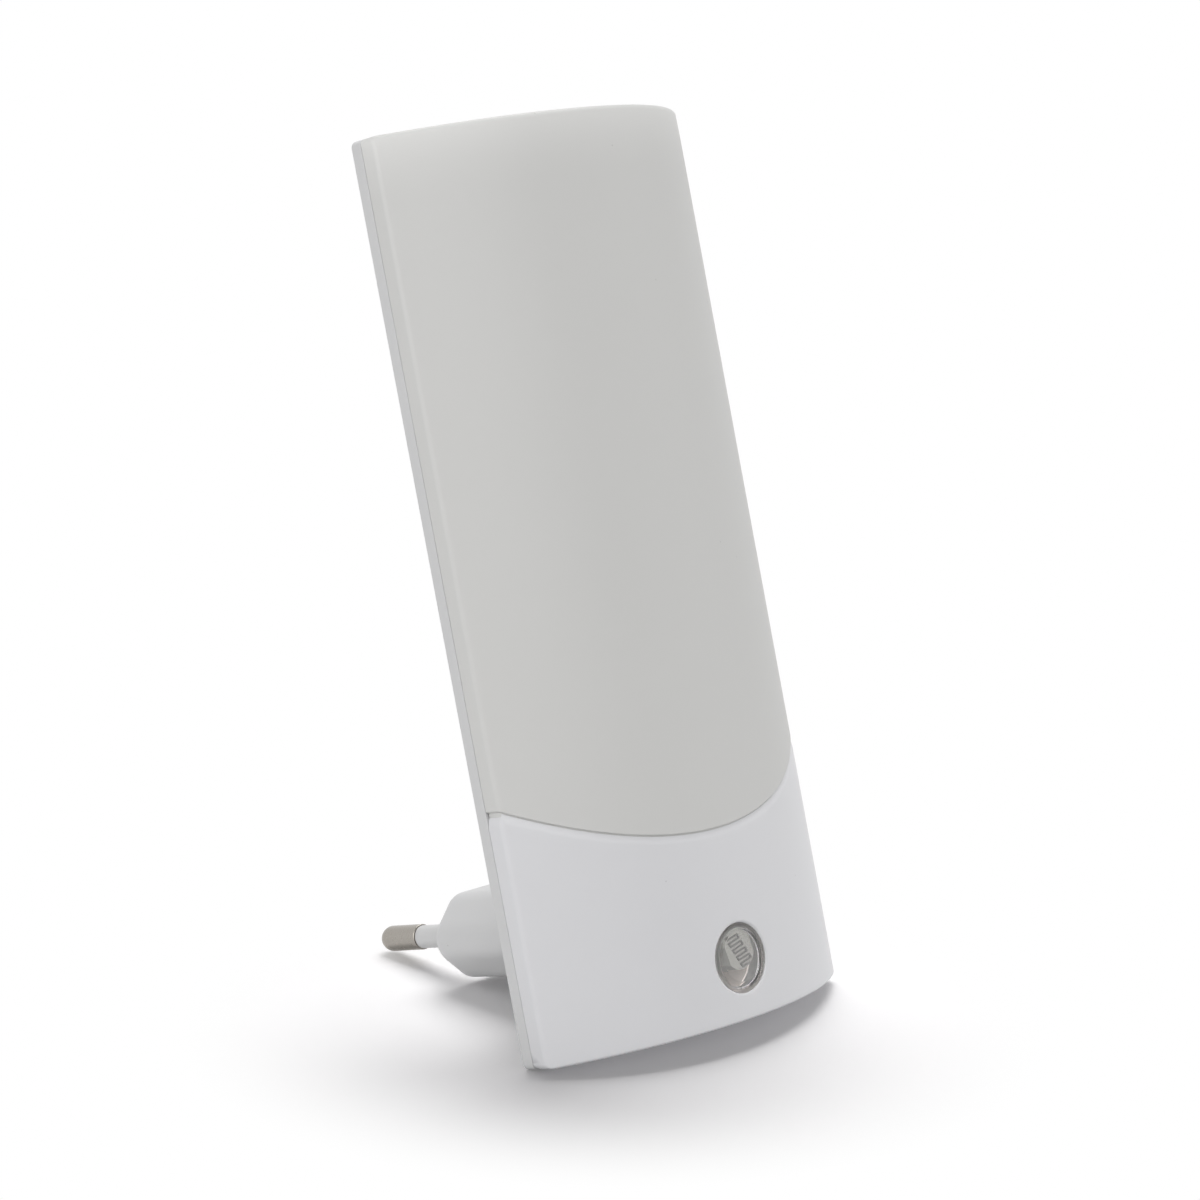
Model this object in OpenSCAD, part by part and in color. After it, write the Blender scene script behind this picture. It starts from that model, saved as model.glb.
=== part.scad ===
// Plug-in night light with a dusk sensor, upright as it sits in a wall socket.
// X runs across the wall, Y points into the wall and Z is up. The origin is on the
// plug's end face, halfway between its two pins. Lengths are in millimetres.

/* [Case] */
// Width of the case across the wall
case_w = 62; // [60:1:70]
// Height of the case
case_h = 135; // [132:1:150]
// Depth of the rear housing's rim, from the back face to the side seam
rim_depth = 2.1; // [1.8:0.1:2.6]
// Depth of the flat sides, from the back face to where the crown starts
side_depth = 5; // [5:0.1:6.5]
// Rise of the crowned front at its middle, over the flat sides
crown_rise = 11.8; // [11:0.2:14]
// Wall of the two front shells
shell_wall = 1.8; // [1.4:0.1:2]
// Thickness of the rear housing's back plate
back_wall = 1.6; // [1.4:0.1:1.8]
// Radius of the four corners, seen from the front
corner_r = 2.5; // [2:0.5:4]
// Radius of the edge between the crown and the top and bottom faces
end_edge_r = 2.4; // [2:0.2:3.4]
// Radius of the edge between the crown and the sides
side_edge_r = 3; // [2.4:0.2:3.6]
// Radius of the rear housing's outer back edge
back_edge_r = 0.8; // [0.4:0.1:1.2]
// Gap that shows along the seams between the shells
seam_gap = 0.3; // [0.2:0.05:0.5]

/* [Seam of diffuser and cover] */
// Height of the curved seam where it meets the sides
seam_h = 37.2; // [36:0.2:40]
// Drop of the seam's middle below its ends
seam_drop = 8.8; // [7:0.2:10]
// How far the diffuser's tongue reaches behind the cover
tongue_reach = 3; // [2:0.5:4]
// Thickness of the diffuser's tongue
tongue_t = 1.2; // [0.8:0.1:1.4]

/* [Plug] */
// Distance from the case's back face to the plug's end face
plug_reach = 32.5; // [31:0.5:36]
// Height of the pins over the bottom of the case
plug_rise = 16.3; // [15.8:0.1:18]
// Width of the plug between the points of its six-sided section
plug_w = 35.3; // [34.6:0.1:36]
// Height of the plug's section
plug_h = 13.7; // [13:0.1:14.4]
// Radius that rounds the section's corners
plug_corner_r = 3.5; // [3:0.1:4]
// Wall of the plug tower
plug_wall = 1.8; // [1.6:0.1:2]
// Depth of the solid nose that holds the pins
nose_depth = 9; // [8:0.5:10]
// Distance between the two pins
pin_pitch = 18; // [17.5:0.1:18.6]
// Radius of a pin's bare metal end
pin_r = 2; // [1.9:0.02:2.1]
// Length of a pin outside the plug
pin_length = 19; // [18:0.5:20]
// Length of the insulated part of a pin outside the plug
sleeve_length = 10; // [9:0.5:11]
// Outer radius of the insulating sleeve
sleeve_r = 1.8; // [1.7:0.02:1.9]
// Depth of the sleeve inside the nose
sleeve_depth = 6; // [4:0.5:7]
// Radius of the pin's core inside the sleeve
pin_core_r = 1.2; // [1:0.05:1.3]

/* [Rear box] */
// Width of the raised box behind the case
box_w = 38; // [37.6:0.1:39]
// Height of the raised box
box_h = 42.5; // [42:0.5:46]
// Depth of the raised box behind the back face
box_depth = 13; // [12.5:0.1:14]
// Height of the box's underside over the bottom of the case
box_foot = 5.5; // [5:0.1:6]
// Wall of the raised box
box_wall = 1.8; // [1.6:0.1:2]
// Radius of the box's four corners, seen from behind
box_corner_r = 3; // [2:0.2:4]

/* [Dusk sensor] */
// Height of the sensor window over the bottom of the case
sensor_rise = 9; // [8.6:0.2:10]
// Radius of the clear window
lens_r = 5.15; // [5.1:0.05:5.4]
// Radius of the flange behind the window
lens_flange_r = 6.4; // [6.2:0.1:6.8]
// Thickness of the window's flange
lens_flange_t = 1; // [0.8:0.1:1.2]
// Radius of the raised middle of the window's face
lens_middle_r = 3.85; // [3.4:0.05:4]
// Radius where the slope round the raised middle ends
lens_slope_r = 4.7; // [4.5:0.05:4.9]
// Rise of the middle over the window's rim
lens_rise = 0.2; // [0.1:0.05:0.4]
// Radius of the hollow behind the window's face
lens_hollow_r = 4.5; // [4.4:0.05:4.7]
// Thickness of the window in front of its hollow
lens_wall = 1.2; // [0.8:0.1:1.4]
// How far the window's face lies below the crown
lens_set = 0.1; // [0:0.05:0.4]
// Radius of the photocell
photocell_r = 3; // [2.5:0.05:3.1]
// Thickness of the photocell
photocell_t = 2; // [1.6:0.1:2.4]
// How far the photocell stands to the right of the window's middle
photocell_x = 0.75; // [0:0.05:0.8]
// How far the photocell stands above the window's middle
photocell_rise = 1.15; // [0:0.05:1.2]
// Number of bars in the photocell's winding line
track_bars = 9; // [5:1:9]

/* [Boards] */
// Thickness of the circuit boards
board_t = 1.6; // [1.2:0.1:1.8]
// Height of the posts that carry the boards
post_h = 2; // [1.8:0.1:2.4]
// Gap between the control board and the screw bosses beside it
control_gap = 0.7; // [0.5:0.1:0.9]
// Width of the light board
light_w = 40; // [36:1:44]
// Gap between the light board and the lip above it
light_gap = 3.4; // [3:0.1:5]
// Rows of light-emitting diodes, with two in each row
led_rows = 4; // [2:1:5]

/* [Hidden] */
$fn = 64;

// One overrun serves every cut
over = 1;
// Clearance between pieces that are laid beside each other
clear = 0.3;
// Clearance of a pin, lead or screw in its hole
slip = 0.05;
// Clearance of a component's lead in the board
lead_slip = 0.15;

// Angle between the points of a computed arc
arc_turn = 11.25;

// Crown: an upright cylinder through both side edges and the middle of the front
crown_r = (pow(case_w / 2, 2) + pow(crown_rise, 2)) / (2 * crown_rise);
crown_y = crown_r - side_depth - crown_rise;
crown_faces = 180;
front_y = -(side_depth + crown_rise);
shell_back_y = -(rim_depth + seam_gap);

// Seam: an arc about an axis along Y
seam_r = (pow(case_w / 2, 2) + pow(seam_drop, 2)) / (2 * seam_drop);
seam_axis_z = seam_h - seam_drop + seam_r;

// Rear housing: the lip inside the shells, and the catches for the diffuser
lip_t = 1.2;
lip_h = 2.2;
lip_out = shell_wall + clear;
catch_w = 6;
catch_h = 6.4;
catch_x = 12;
hook_w = 4;
hook_t = 1;
hook_h = 1;
hook_y = -(back_wall + catch_h - hook_t - clear - hook_t);

// Screws: one pan-head size for the boards, the case and the retainer
screw_r = 1.05;
screw_head_r = 2.1;
screw_head_h = 1.3;
screw_slot = 0.5;
screw_slot_depth = 0.6;
board_screw_l = 4;
case_screw_l = 6;
retainer_screw_l = 8;
case_screw_edge = 8.5;
case_screw_drop = 11.2;
case_screw_x = case_w / 2 - case_screw_edge;
case_screw_z = seam_h - case_screw_drop;
case_boss_r = 3.4;
case_boss_h = 1.6;
cover_boss_r = 2.8;
pilot_spare = 0.4;
head_sink = 0.2;

// Boards, one above the other on posts
control_w = 2 * (case_screw_x - cover_boss_r - control_gap);
board_back_y = -(back_wall + post_h);
board_front_y = board_back_y - board_t;
board_post_r = 2.6;
board_edge = 3.5;
control_z0 = lip_out + lip_t + 3 * clear;
control_screw_z = box_foot + box_h + board_post_r - clear;
control_z1 = control_screw_z + board_edge;
control_screw_x = control_w / 2 - board_edge - clear;
foot_w = 6;
foot_rib = 0.6;
foot_grip = 1.4;
foot_h = 2.2;
board_space = 2.5;
light_z0 = control_z1 + board_space;
light_z1 = case_h - lip_out - lip_t - light_gap;
light_h = light_z1 - light_z0;
light_screw_x = light_w / 2 - board_edge - clear;
light_screw_z = [light_z0 + board_edge, light_z1 - board_edge];

// Light-emitting diodes and the resistors between them
led_w = 3.5;
led_d = 2.8;
led_h = 0.8;
led_x = 10;
led_edge = 10;
led_step = (light_h - 2 * led_edge) / (led_rows - 1);
smd_l = 3.2;
smd_w = 1.6;
smd_h = 0.6;

// Reflector tray over both boards
tray_t = 0.8;
tray_gap = 0.2;
tray_side = 6;
tray_w = case_w - 2 * tray_side;
tray_rim = 1.5;
tray_window = 0.4;
tray_back_y = board_front_y - tray_gap;
tray_front_y = tray_back_y - tray_t;
tray_top = case_h - lip_out - lip_t - clear - tray_rim;

// Baffle that keeps the lamps' light from the sensor
baffle_t = 1;
baffle_gap = 0.8;

// Dusk sensor
track_t = 0.15;
lens_fit = 0.15;
lens_pad_r = 7;
lens_pad_wall = 0.8;
lens_face_y = front_y + lens_set;
lens_seat_y = front_y + shell_wall + lens_pad_wall;
lens_back_y = lens_seat_y + lens_flange_t;
hole_bevel = 0.4;
shroud_t = 0.6;
shroud_r = lens_hollow_r + shroud_t;
shroud_gap = 0.2;
photocell_gap = 0.2;
photocell_z = sensor_rise + photocell_rise;
photocell_front_y = lens_face_y + lens_wall + photocell_gap + track_t;
photocell_back_y = photocell_front_y + photocell_t;
track_pitch = 0.62;
track_w = 0.24;
track_half = 1.15;
track_slant = 16;
track_turn = 78;
track_drop = 0.2;
track_margin = 0.25;
photocell_flat = 0.35;
small_faces = 12;
wire_faces = 24;
sensor_lead_x = 1.3;
sensor_lead_r = 0.25;
lead_tail = 0.4;

// Pins
pin_x = pin_pitch / 2;
flange_r = 1.7;
flange_t = 1.2;
retainer_t = 2;
tail_l = 3;
lug_t = 0.5;
lug_gap = 0.2;
lug_w = 2.4;
nose_y = plug_reach - nose_depth;
retainer_back_y = nose_y - flange_t;
retainer_front_y = retainer_back_y - retainer_t;
lug_back_y = retainer_front_y - lug_gap;
lug_front_y = lug_back_y - lug_t;
// Drop of the wires below the pins, down to the tower's floor, and as far towards its middle
wire_drop = plug_h / 2 - plug_wall - lug_w / sqrt(2) - clear;
wire_x = pin_x - wire_drop;
wire_z = plug_rise - wire_drop;

// Mains wires, from the lugs to the control board
wire_r = 0.8;
wire_core_r = 0.4;
wire_side_gap = 2.7;
wire_land_x = box_w / 2 - shell_wall - wire_side_gap;
wire_turn_y = 3;

// Link wires between the boards
link_x = 3;
link_r = 0.5;
link_inset = 2;
link_lift = 0.3;

// Components behind the control board, packed down from the top of the box
lead_r = 0.35;
axial_reach = 1.5;
axial_gap = 0.2;
part_gap = 1.6;
room_x = box_w / 2 - box_wall;
room_z = box_foot + box_h - box_wall;
film_l = 13;
film_t = 6;
film_h = 12;
film_pitch = 10;
film_stand = 0.2;
film_corner_r = 0.8;
film_at = [film_l / 2 + part_gap - room_x, room_z - part_gap - film_t / 2];
can_r = 4;
can_h = 11;
can_pitch = 3.5;
can_groove = 0.3;
can_groove_share = 0.12;
can_at = [room_x - 2 * part_gap - can_r, room_z - part_gap - can_r];
fuse_r = 1.75;
fuse_l = 9;
fuse_at = [film_at[0], film_at[1] - film_t / 2 - part_gap - fuse_r];
bleed_r = 1.2;
bleed_l = 6;
bleed_at = [film_at[0], fuse_at[1] - fuse_r - part_gap - bleed_r];
diode_r = 1.35;
diode_l = 5.2;
diode_step = 3.5;
diode_z = can_at[1] - can_r - part_gap - axial_reach - diode_l / 2;
diode_x = [for (i = [0 : 3]) can_at[0] + (i - 3 / 2) * diode_step];

// Components in front of the control board, beside the sensor
small_lead_r = 0.25;
small_r = 0.9;
small_l = 3.4;
front_part_x = 12;
signal_step = 4;
signal_z = [for (i = [0 : 2]) sensor_rise + (i + 1 / 2) * signal_step];
zener_at = [front_part_x, sensor_rise + 3 * signal_step];
transistor_at = [front_part_x, sensor_rise + signal_step];
transistor_r = 2.4;
transistor_h = 4.6;
transistor_stand = 2;
transistor_flat = 0.9;
transistor_pitch = 1.27;

// Sets a piece that is drawn from the middle of the case's bottom back edge
module in_case() {
    translate([0, -plug_reach, -plug_rise]) children();
}

// Round bar along Y between two depths
module bar_y(r, y0, y1) {
    translate([0, y1, 0]) rotate([90, 0, 0]) cylinder(r = r, h = y1 - y0);
}

// Plate along Y between two depths, from an outline in X and Z
module plate_y(y0, y1) {
    translate([0, y1, 0]) rotate([90, 0, 0]) linear_extrude(height = y1 - y0) children();
}

// Rectangle with round corners, standing on the middle of its lower edge
module round_rect(w, h, r) {
    for (x = [-w / 2 + r, w / 2 - r])
        for (z = [r, h - r])
            translate([x, z]) circle(r = r);
    translate([-w / 2 + r, 0]) square([w - 2 * r, h]);
    translate([-w / 2, r]) square([w, h - 2 * r]);
}

// Outline of the case from the front, drawn in from its edge
module case_outline(inset) {
    r = max(corner_r - inset, lip_t / 2);
    translate([0, inset]) round_rect(case_w - 2 * inset, case_h - 2 * inset, r);
}

// Plan section of the front up to its back, with the edges beside the crown rounded
module plan_section(inset, back_y) {
    r = crown_r - inset;
    w = case_w / 2 - inset;
    edge = max(side_edge_r - inset, lip_t / 2);
    edge_y = crown_y - sqrt(pow(r - edge, 2) - pow(w - edge, 2));
    turn = [w - edge, edge_y - crown_y] / (r - edge);
    difference() {
        translate([-w, front_y - over]) square([2 * w, back_y - front_y + over]);
        for (side = [-1, 1])
            polygon([
                [side * (w - edge), edge_y],
                [side * (w + over), edge_y],
                [side * (w + over), edge_y - edge - over],
                [side * (w - edge + turn[0] * (edge + over)), edge_y + turn[1] * (edge + over)]
            ]);
    }
    for (side = [-1, 1])
        translate([side * (w - edge), edge_y]) circle(r = edge);
}

// Upright section that is turned about the crown's axis, with its outer corners rounded
module turned_section(inset) {
    r = crown_r - inset;
    edge = max(end_edge_r - inset, lip_t / 2);
    translate([0, inset]) square([r - edge, case_h - 2 * inset]);
    translate([0, inset + edge]) square([r, case_h - 2 * inset - 2 * edge]);
    for (z = [inset + edge, case_h - inset - edge])
        translate([r - edge, z]) circle(r = edge);
}

// Solid form of the front, drawn in from its surface
module front_form(inset, back_y) {
    intersection() {
        translate([0, crown_y, 0]) rotate_extrude($fn = crown_faces) turned_section(inset);
        linear_extrude(height = case_h) plan_section(inset, back_y);
        plate_y(front_y - over, back_y) case_outline(inset);
    }
}

// Space above the seam's arc, moved by a shift away from the seam
module above_seam(shift) {
    r = seam_r - shift;
    translate([0, 0, seam_axis_z]) bar_y(r, front_y - over, over);
    translate([-case_w, front_y - over, seam_axis_z])
        cube([2 * case_w, over + over - front_y, case_h]);
}

// Points of an arc about a centre, between two angles
function arc_points(centre, r, from, to) = [
    for (a = [from : arc_turn : to]) centre + r * [cos(a), sin(a)]
];

// Six-sided plug section with round corners, drawn in from its edge. Its flanks slope at
// half a right angle, and its left half is the right half turned through half a circle
module plug_section(inset) {
    r = max(plug_corner_r - inset, lip_t / 2);
    half_h = plug_h / 2 - inset;
    half_w = plug_w / 2 - inset * sqrt(2);
    nose = half_w - r * sqrt(2);
    bend = half_w - half_h - r * (sqrt(2) - 1);
    right = concat(
        arc_points([bend, r - half_h], r, -90, -45),
        arc_points([nose, 0], r, -45, 45),
        arc_points([bend, half_h - r], r, 45, 90)
    );
    polygon(concat(right, -right));
}

// Straight runs between points, with a ball at each bend
module bent_wire(points, r) {
    for (i = [0 : len(points) - 2]) {
        run = points[i + 1] - points[i];
        translate(points[i])
            rotate([0, acos(run[2] / norm(run)), atan2(run[1], run[0])])
                cylinder(r = r, h = norm(run), $fn = wire_faces);
    }
    for (i = [1 : 1 : len(points) - 2])
        translate(points[i]) sphere(r = r, $fn = wire_faces);
}

// Pan-head screw with its head at the lower Y and its point towards the higher Y
module screw(length) {
    difference() {
        bar_y(screw_head_r, -screw_head_h, 0);
        for (turn = [0, 90])
            rotate([0, turn, 0])
                translate([-screw_head_r + screw_slot, -screw_head_h - over, -screw_slot / 2])
                    cube([2 * (screw_head_r - screw_slot), screw_slot_depth + over, screw_slot]);
    }
    bar_y(screw_r, 0, length);
}

// Axial component along X, with its leads bent into the board that lies at a depth
module axial(r, length, wire_r, board_y, into) {
    lift = into * (r + axial_gap);
    rotate([0, 90, 0]) translate([0, board_y - lift, -length / 2]) cylinder(r = r, h = length);
    for (side = [-1, 1])
        bent_wire([
            [side * length / 2, board_y - lift, 0],
            [side * (length / 2 + axial_reach), board_y - lift, 0],
            [side * (length / 2 + axial_reach), board_y + into * board_t, 0]
        ], wire_r);
}

// Places of an axial component's two leads
function axial_ends(at, length, turned) = [
    for (side = [-1, 1])
        turned ? [at[0], at[1] + side * (length / 2 + axial_reach)]
               : [at[0] + side * (length / 2 + axial_reach), at[1]]
];

// Every hole that the control board is drilled with: place and radius
control_holes = concat(
    [for (side = [-1, 1])
        [photocell_x + side * sensor_lead_x, photocell_z, sensor_lead_r + lead_slip]],
    [for (side = [-1, 1]) [film_at[0] + side * film_pitch / 2, film_at[1], lead_r + lead_slip]],
    [for (side = [-1, 1]) [can_at[0] + side * can_pitch / 2, can_at[1], lead_r + lead_slip]],
    [for (p = axial_ends(fuse_at, fuse_l, false)) [p[0], p[1], lead_r + lead_slip]],
    [for (p = axial_ends(bleed_at, bleed_l, false)) [p[0], p[1], lead_r + lead_slip]],
    [for (x = diode_x) for (p = axial_ends([x, diode_z], diode_l, true))
        [p[0], p[1], lead_r + lead_slip]],
    [for (z = signal_z) for (p = axial_ends([-front_part_x, z], small_l, false))
        [p[0], p[1], small_lead_r + lead_slip]],
    [for (p = axial_ends(zener_at, small_l, false)) [p[0], p[1], small_lead_r + lead_slip]],
    [for (i = [-1, 0, 1])
        [transistor_at[0] + i * transistor_pitch, transistor_at[1], small_lead_r + lead_slip]],
    [for (side = [-1, 1]) [side * wire_land_x, wire_z, wire_core_r + lead_slip]],
    [for (side = [-1, 1]) [side * link_x, control_z1 - link_inset, link_r + lead_slip]],
    [for (side = [-1, 1]) [side * control_screw_x, control_screw_z, screw_r + lead_slip]]
);

// Every place where a board is screwed to a post
post_places = concat(
    [for (side = [-1, 1]) [side * control_screw_x, control_screw_z]],
    [for (side = [-1, 1]) for (z = light_screw_z) [side * light_screw_x, z]]
);

// Places of the light-emitting diodes and of the resistors between the rows
led_places = [
    for (row = [0 : led_rows - 1]) for (side = [-1, 1])
        [side * led_x, light_z0 + led_edge + row * led_step]
];
resistor_places = [
    for (row = [0 : 2 : led_rows - 2]) [0, light_z0 + led_edge + (row + 1 / 2) * led_step]
];

// Back plate with a round outer edge, cut in thin steps
module back_plate() {
    steps = 4;
    difference() {
        plate_y(-rim_depth, 0) case_outline(0);
        for (i = [0 : steps - 1])
            plate_y(back_edge_r * (sin(i * 90 / steps) - 1), over) difference() {
                case_outline(-over);
                case_outline(back_edge_r * (1 - cos((i + 1 / 2) * 90 / steps)));
            }
    }
}

// Foot that grips the control board's lower edge
module board_foot() {
    translate([-foot_w / 2, board_back_y, control_z0])
        cube([foot_w, -back_wall - board_back_y, foot_h]);
    translate([-foot_w / 2, board_front_y - clear - foot_rib, control_z0 - clear - foot_rib])
        cube([foot_w, -back_wall - board_front_y + clear + foot_rib, foot_rib]);
    translate([-foot_w / 2, board_front_y - clear - foot_rib, control_z0 - clear - foot_rib])
        cube([foot_w, foot_rib, foot_rib + clear + foot_grip]);
}

// Rear shell with its locating lip, electronics box and plug tower in one moulding
module rear_housing() {
    color("white") in_case() difference() {
        union() {
            difference() {
                back_plate();
                plate_y(-rim_depth - over, -back_wall) case_outline(shell_wall);
            }
            difference() {
                plate_y(-back_wall - lip_h, -back_wall) case_outline(lip_out);
                plate_y(-back_wall - lip_h - over, -back_wall + over)
                    case_outline(lip_out + lip_t);
            }
            for (x = [-catch_x, catch_x])
                translate([x - catch_w / 2, -back_wall - catch_h, case_h - lip_out - lip_t])
                    cube([catch_w, catch_h, lip_t]);
            translate([0, 0, box_foot]) plate_y(-back_wall, box_depth)
                round_rect(box_w, box_h, box_corner_r);
            translate([0, 0, plug_rise]) plate_y(0, plug_reach) plug_section(0);
            for (place = post_places)
                translate([place[0], 0, place[1]]) bar_y(board_post_r, board_back_y, -back_wall);
            for (x = [-case_screw_x, case_screw_x])
                translate([x, 0, case_screw_z])
                    bar_y(case_boss_r, -back_wall - case_boss_h, -back_wall);
            for (x = [-control_screw_x, control_screw_x])
                translate([x, 0, 0]) board_foot();
        }
        // Windows in the catches
        for (x = [-catch_x, catch_x])
            translate([x - hook_w / 2 - clear, hook_y - hook_t - clear, case_h - lip_out - lip_t - over])
                cube([hook_w + 2 * clear, hook_t + 2 * clear, lip_t + 2 * over]);
        // Room inside the box and the tower
        translate([0, 0, box_foot + box_wall])
            plate_y(-back_wall - over, box_depth - box_wall)
                round_rect(box_w - 2 * box_wall, box_h - 2 * box_wall, box_corner_r - box_wall);
        translate([0, 0, plug_rise]) plate_y(0, nose_y) plug_section(plug_wall);
        // Stepped bores for the pins, and the retainer screw's hole
        for (x = [-pin_x, pin_x])
            translate([x, 0, plug_rise]) {
                bar_y(pin_core_r + slip, nose_y - over, plug_reach);
                bar_y(sleeve_r + slip, plug_reach - sleeve_depth, plug_reach + over);
            }
        translate([0, 0, plug_rise])
            bar_y(screw_r + slip, nose_y - over, retainer_front_y + retainer_screw_l + pilot_spare);
        // Holes for the board screws
        for (place = post_places)
            translate([place[0], 0, place[1]])
                bar_y(screw_r + slip, board_back_y - over, board_front_y + board_screw_l + pilot_spare);
        // Counterbored holes for the case screws
        for (x = [-case_screw_x, case_screw_x])
            translate([x, 0, case_screw_z]) {
                bar_y(screw_r + lead_slip, -back_wall - case_boss_h - over, 0);
                bar_y(screw_head_r + lead_slip, -head_sink - screw_head_h, over);
            }
    }
}

// Milky front shell over the lamps, with a tongue behind the cover and two hooks on top
module diffuser() {
    color("gainsboro") in_case() {
        intersection() {
            difference() {
                front_form(0, shell_back_y);
                front_form(shell_wall, 0);
            }
            above_seam(seam_gap / 2);
        }
        difference() {
            intersection() {
                front_form(shell_wall + clear, -back_wall - lip_h - clear);
                above_seam(-tongue_reach);
            }
            front_form(shell_wall + clear + tongue_t, 0);
            above_seam(seam_gap / 2 + tongue_t);
        }
        intersection() {
            difference() {
                front_form(shell_wall - clear, -back_wall - lip_h - clear);
                front_form(shell_wall + clear + tongue_t, 0);
            }
            difference() {
                above_seam(seam_gap / 2);
                above_seam(seam_gap / 2 + tongue_t);
            }
        }
        for (x = [-catch_x, catch_x])
            translate([x - hook_w / 2, hook_y - hook_t, case_h - shell_wall - hook_h])
                cube([hook_w, hook_t, hook_h + shell_wall / 2]);
    }
}

// Lower front shell with the sensor's window and two screw bosses
module lower_cover() {
    color("whitesmoke") in_case() difference() {
        union() {
            difference() {
                front_form(0, shell_back_y);
                front_form(shell_wall, 0);
                above_seam(-seam_gap / 2);
            }
            intersection() {
                front_form(shell_wall / 2, 0);
                translate([0, 0, sensor_rise]) bar_y(lens_pad_r, front_y, lens_seat_y);
            }
            intersection() {
                front_form(shell_wall / 2, 0);
                for (x = [-case_screw_x, case_screw_x])
                    translate([x, 0, case_screw_z])
                        bar_y(cover_boss_r, front_y, -back_wall - case_boss_h);
            }
        }
        translate([0, 0, sensor_rise]) {
            bar_y(lens_r + lens_fit, front_y - over, 0);
            translate([0, front_y - over, 0]) rotate([-90, 0, 0])
                cylinder(r1 = lens_r + lens_fit + hole_bevel + over,
                         r2 = lens_r + lens_fit, h = hole_bevel + over);
        }
        for (x = [-case_screw_x, case_screw_x])
            translate([x, 0, case_screw_z])
                bar_y(screw_r + slip, -head_sink - screw_head_h - case_screw_l - pilot_spare, 0);
    }
}

// Clear window: a cup with a raised middle, and a flange behind the cover's wall
module sensor_lens() {
    color("lightgray", 0.5) in_case() translate([0, 0, sensor_rise]) difference() {
        union() {
            translate([0, lens_face_y, 0]) rotate([-90, 0, 0])
                cylinder(r1 = lens_middle_r, r2 = lens_slope_r, h = lens_rise);
            bar_y(lens_r, lens_face_y + lens_rise, lens_seat_y + lens_flange_t / 2);
            bar_y(lens_flange_r, lens_seat_y, lens_back_y);
        }
        bar_y(lens_hollow_r, lens_face_y + lens_wall, lens_back_y + over);
    }
}

// Tube behind the window that keeps the lamps' light from the photocell
module sensor_shroud() {
    color("dimgray") in_case() translate([0, 0, sensor_rise]) difference() {
        bar_y(shroud_r, lens_back_y + shroud_gap, board_front_y);
        bar_y(shroud_r - shroud_t, lens_back_y, board_front_y + over);
    }
}

// Sets a piece at the photocell's middle, turned so that Z runs along its line's bars
module at_photocell() {
    translate([photocell_x, 0, photocell_z]) rotate([0, track_turn, 0]) children();
}

// Ceramic body of the photocell, with two flat sides
module photocell() {
    color("tan") in_case() at_photocell() difference() {
        bar_y(photocell_r, photocell_front_y, photocell_back_y);
        for (side = [0, 1])
            mirror([0, 0, side])
                translate([-photocell_r, photocell_front_y - over, photocell_r - photocell_flat])
                    cube([2 * photocell_r, photocell_t + 2 * over, photocell_r]);
    }
}

// Corners of the light-sensitive line, bar by bar
track_points = [
    for (i = [0 : track_bars - 1]) for (end = [-1, 1])
        (i - (track_bars - 1) / 2) * track_pitch * [cos(track_slant), sin(track_slant)]
            + [0, (i % 2 == 0 ? end : -end) * track_half]
];

// Flat line of one width between points, with a round joint at each corner
module flat_line(points, w) {
    for (i = [0 : len(points) - 2]) {
        run = points[i + 1] - points[i];
        translate(points[i]) rotate(atan2(run[1], run[0]))
            translate([0, -w / 2]) square([norm(run), w]);
    }
    for (i = [1 : len(points) - 2])
        translate(points[i]) circle(r = w / 2, $fn = small_faces);
}

// Light-sensitive line that winds across the photocell's face
module photocell_track() {
    color("sienna") in_case() at_photocell()
        plate_y(photocell_front_y - track_t, photocell_front_y) intersection() {
            rotate(track_turn) translate([0, -track_drop]) rotate(-track_turn)
                flat_line(track_points, track_w);
            circle(r = photocell_r - track_margin);
        }
}

// Two wires that carry the photocell over the control board
module photocell_leads() {
    color("silver") in_case() for (side = [-1, 1])
        translate([photocell_x + side * sensor_lead_x, 0, photocell_z])
            bar_y(sensor_lead_r, photocell_back_y, board_back_y + lead_tail);
}

// Two plug pins: bare end, core, flange and riveted tail
module plug_pins() {
    color("silver") in_case() for (x = [-pin_x, pin_x])
        translate([x, 0, plug_rise]) {
            bar_y(pin_r, plug_reach + sleeve_length, plug_reach + pin_length - pin_r);
            intersection() {
                translate([0, plug_reach + pin_length - pin_r, 0]) sphere(r = pin_r);
                bar_y(pin_r + over, plug_reach + sleeve_length, plug_reach + pin_length + over);
            }
            bar_y(pin_core_r, retainer_front_y - tail_l, plug_reach + sleeve_length);
            bar_y(flange_r, retainer_back_y, nose_y);
        }
}

// Insulating sleeves round the pins' cores
module pin_sleeves() {
    color("white") in_case() for (x = [-pin_x, pin_x])
        translate([x, 0, plug_rise]) difference() {
            bar_y(sleeve_r, plug_reach - sleeve_depth, plug_reach + sleeve_length);
            bar_y(pin_core_r + slip, plug_reach - sleeve_depth - over,
                  plug_reach + sleeve_length + over);
        }
}

// Plate that holds the pins' flanges against the nose
module pin_retainer() {
    color("beige") in_case() translate([0, 0, plug_rise]) difference() {
        plate_y(retainer_front_y, retainer_back_y) plug_section(plug_wall + clear);
        for (x = [-pin_x, pin_x])
            translate([x, 0, 0])
                bar_y(pin_core_r + lead_slip, retainer_front_y - over, retainer_back_y + over);
        bar_y(screw_r + lead_slip, retainer_front_y - over, retainer_back_y + over);
    }
}

// Screw that holds the retainer
module retainer_screw() {
    color("silver") in_case() translate([0, retainer_front_y, plug_rise])
        screw(retainer_screw_l);
}

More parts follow.
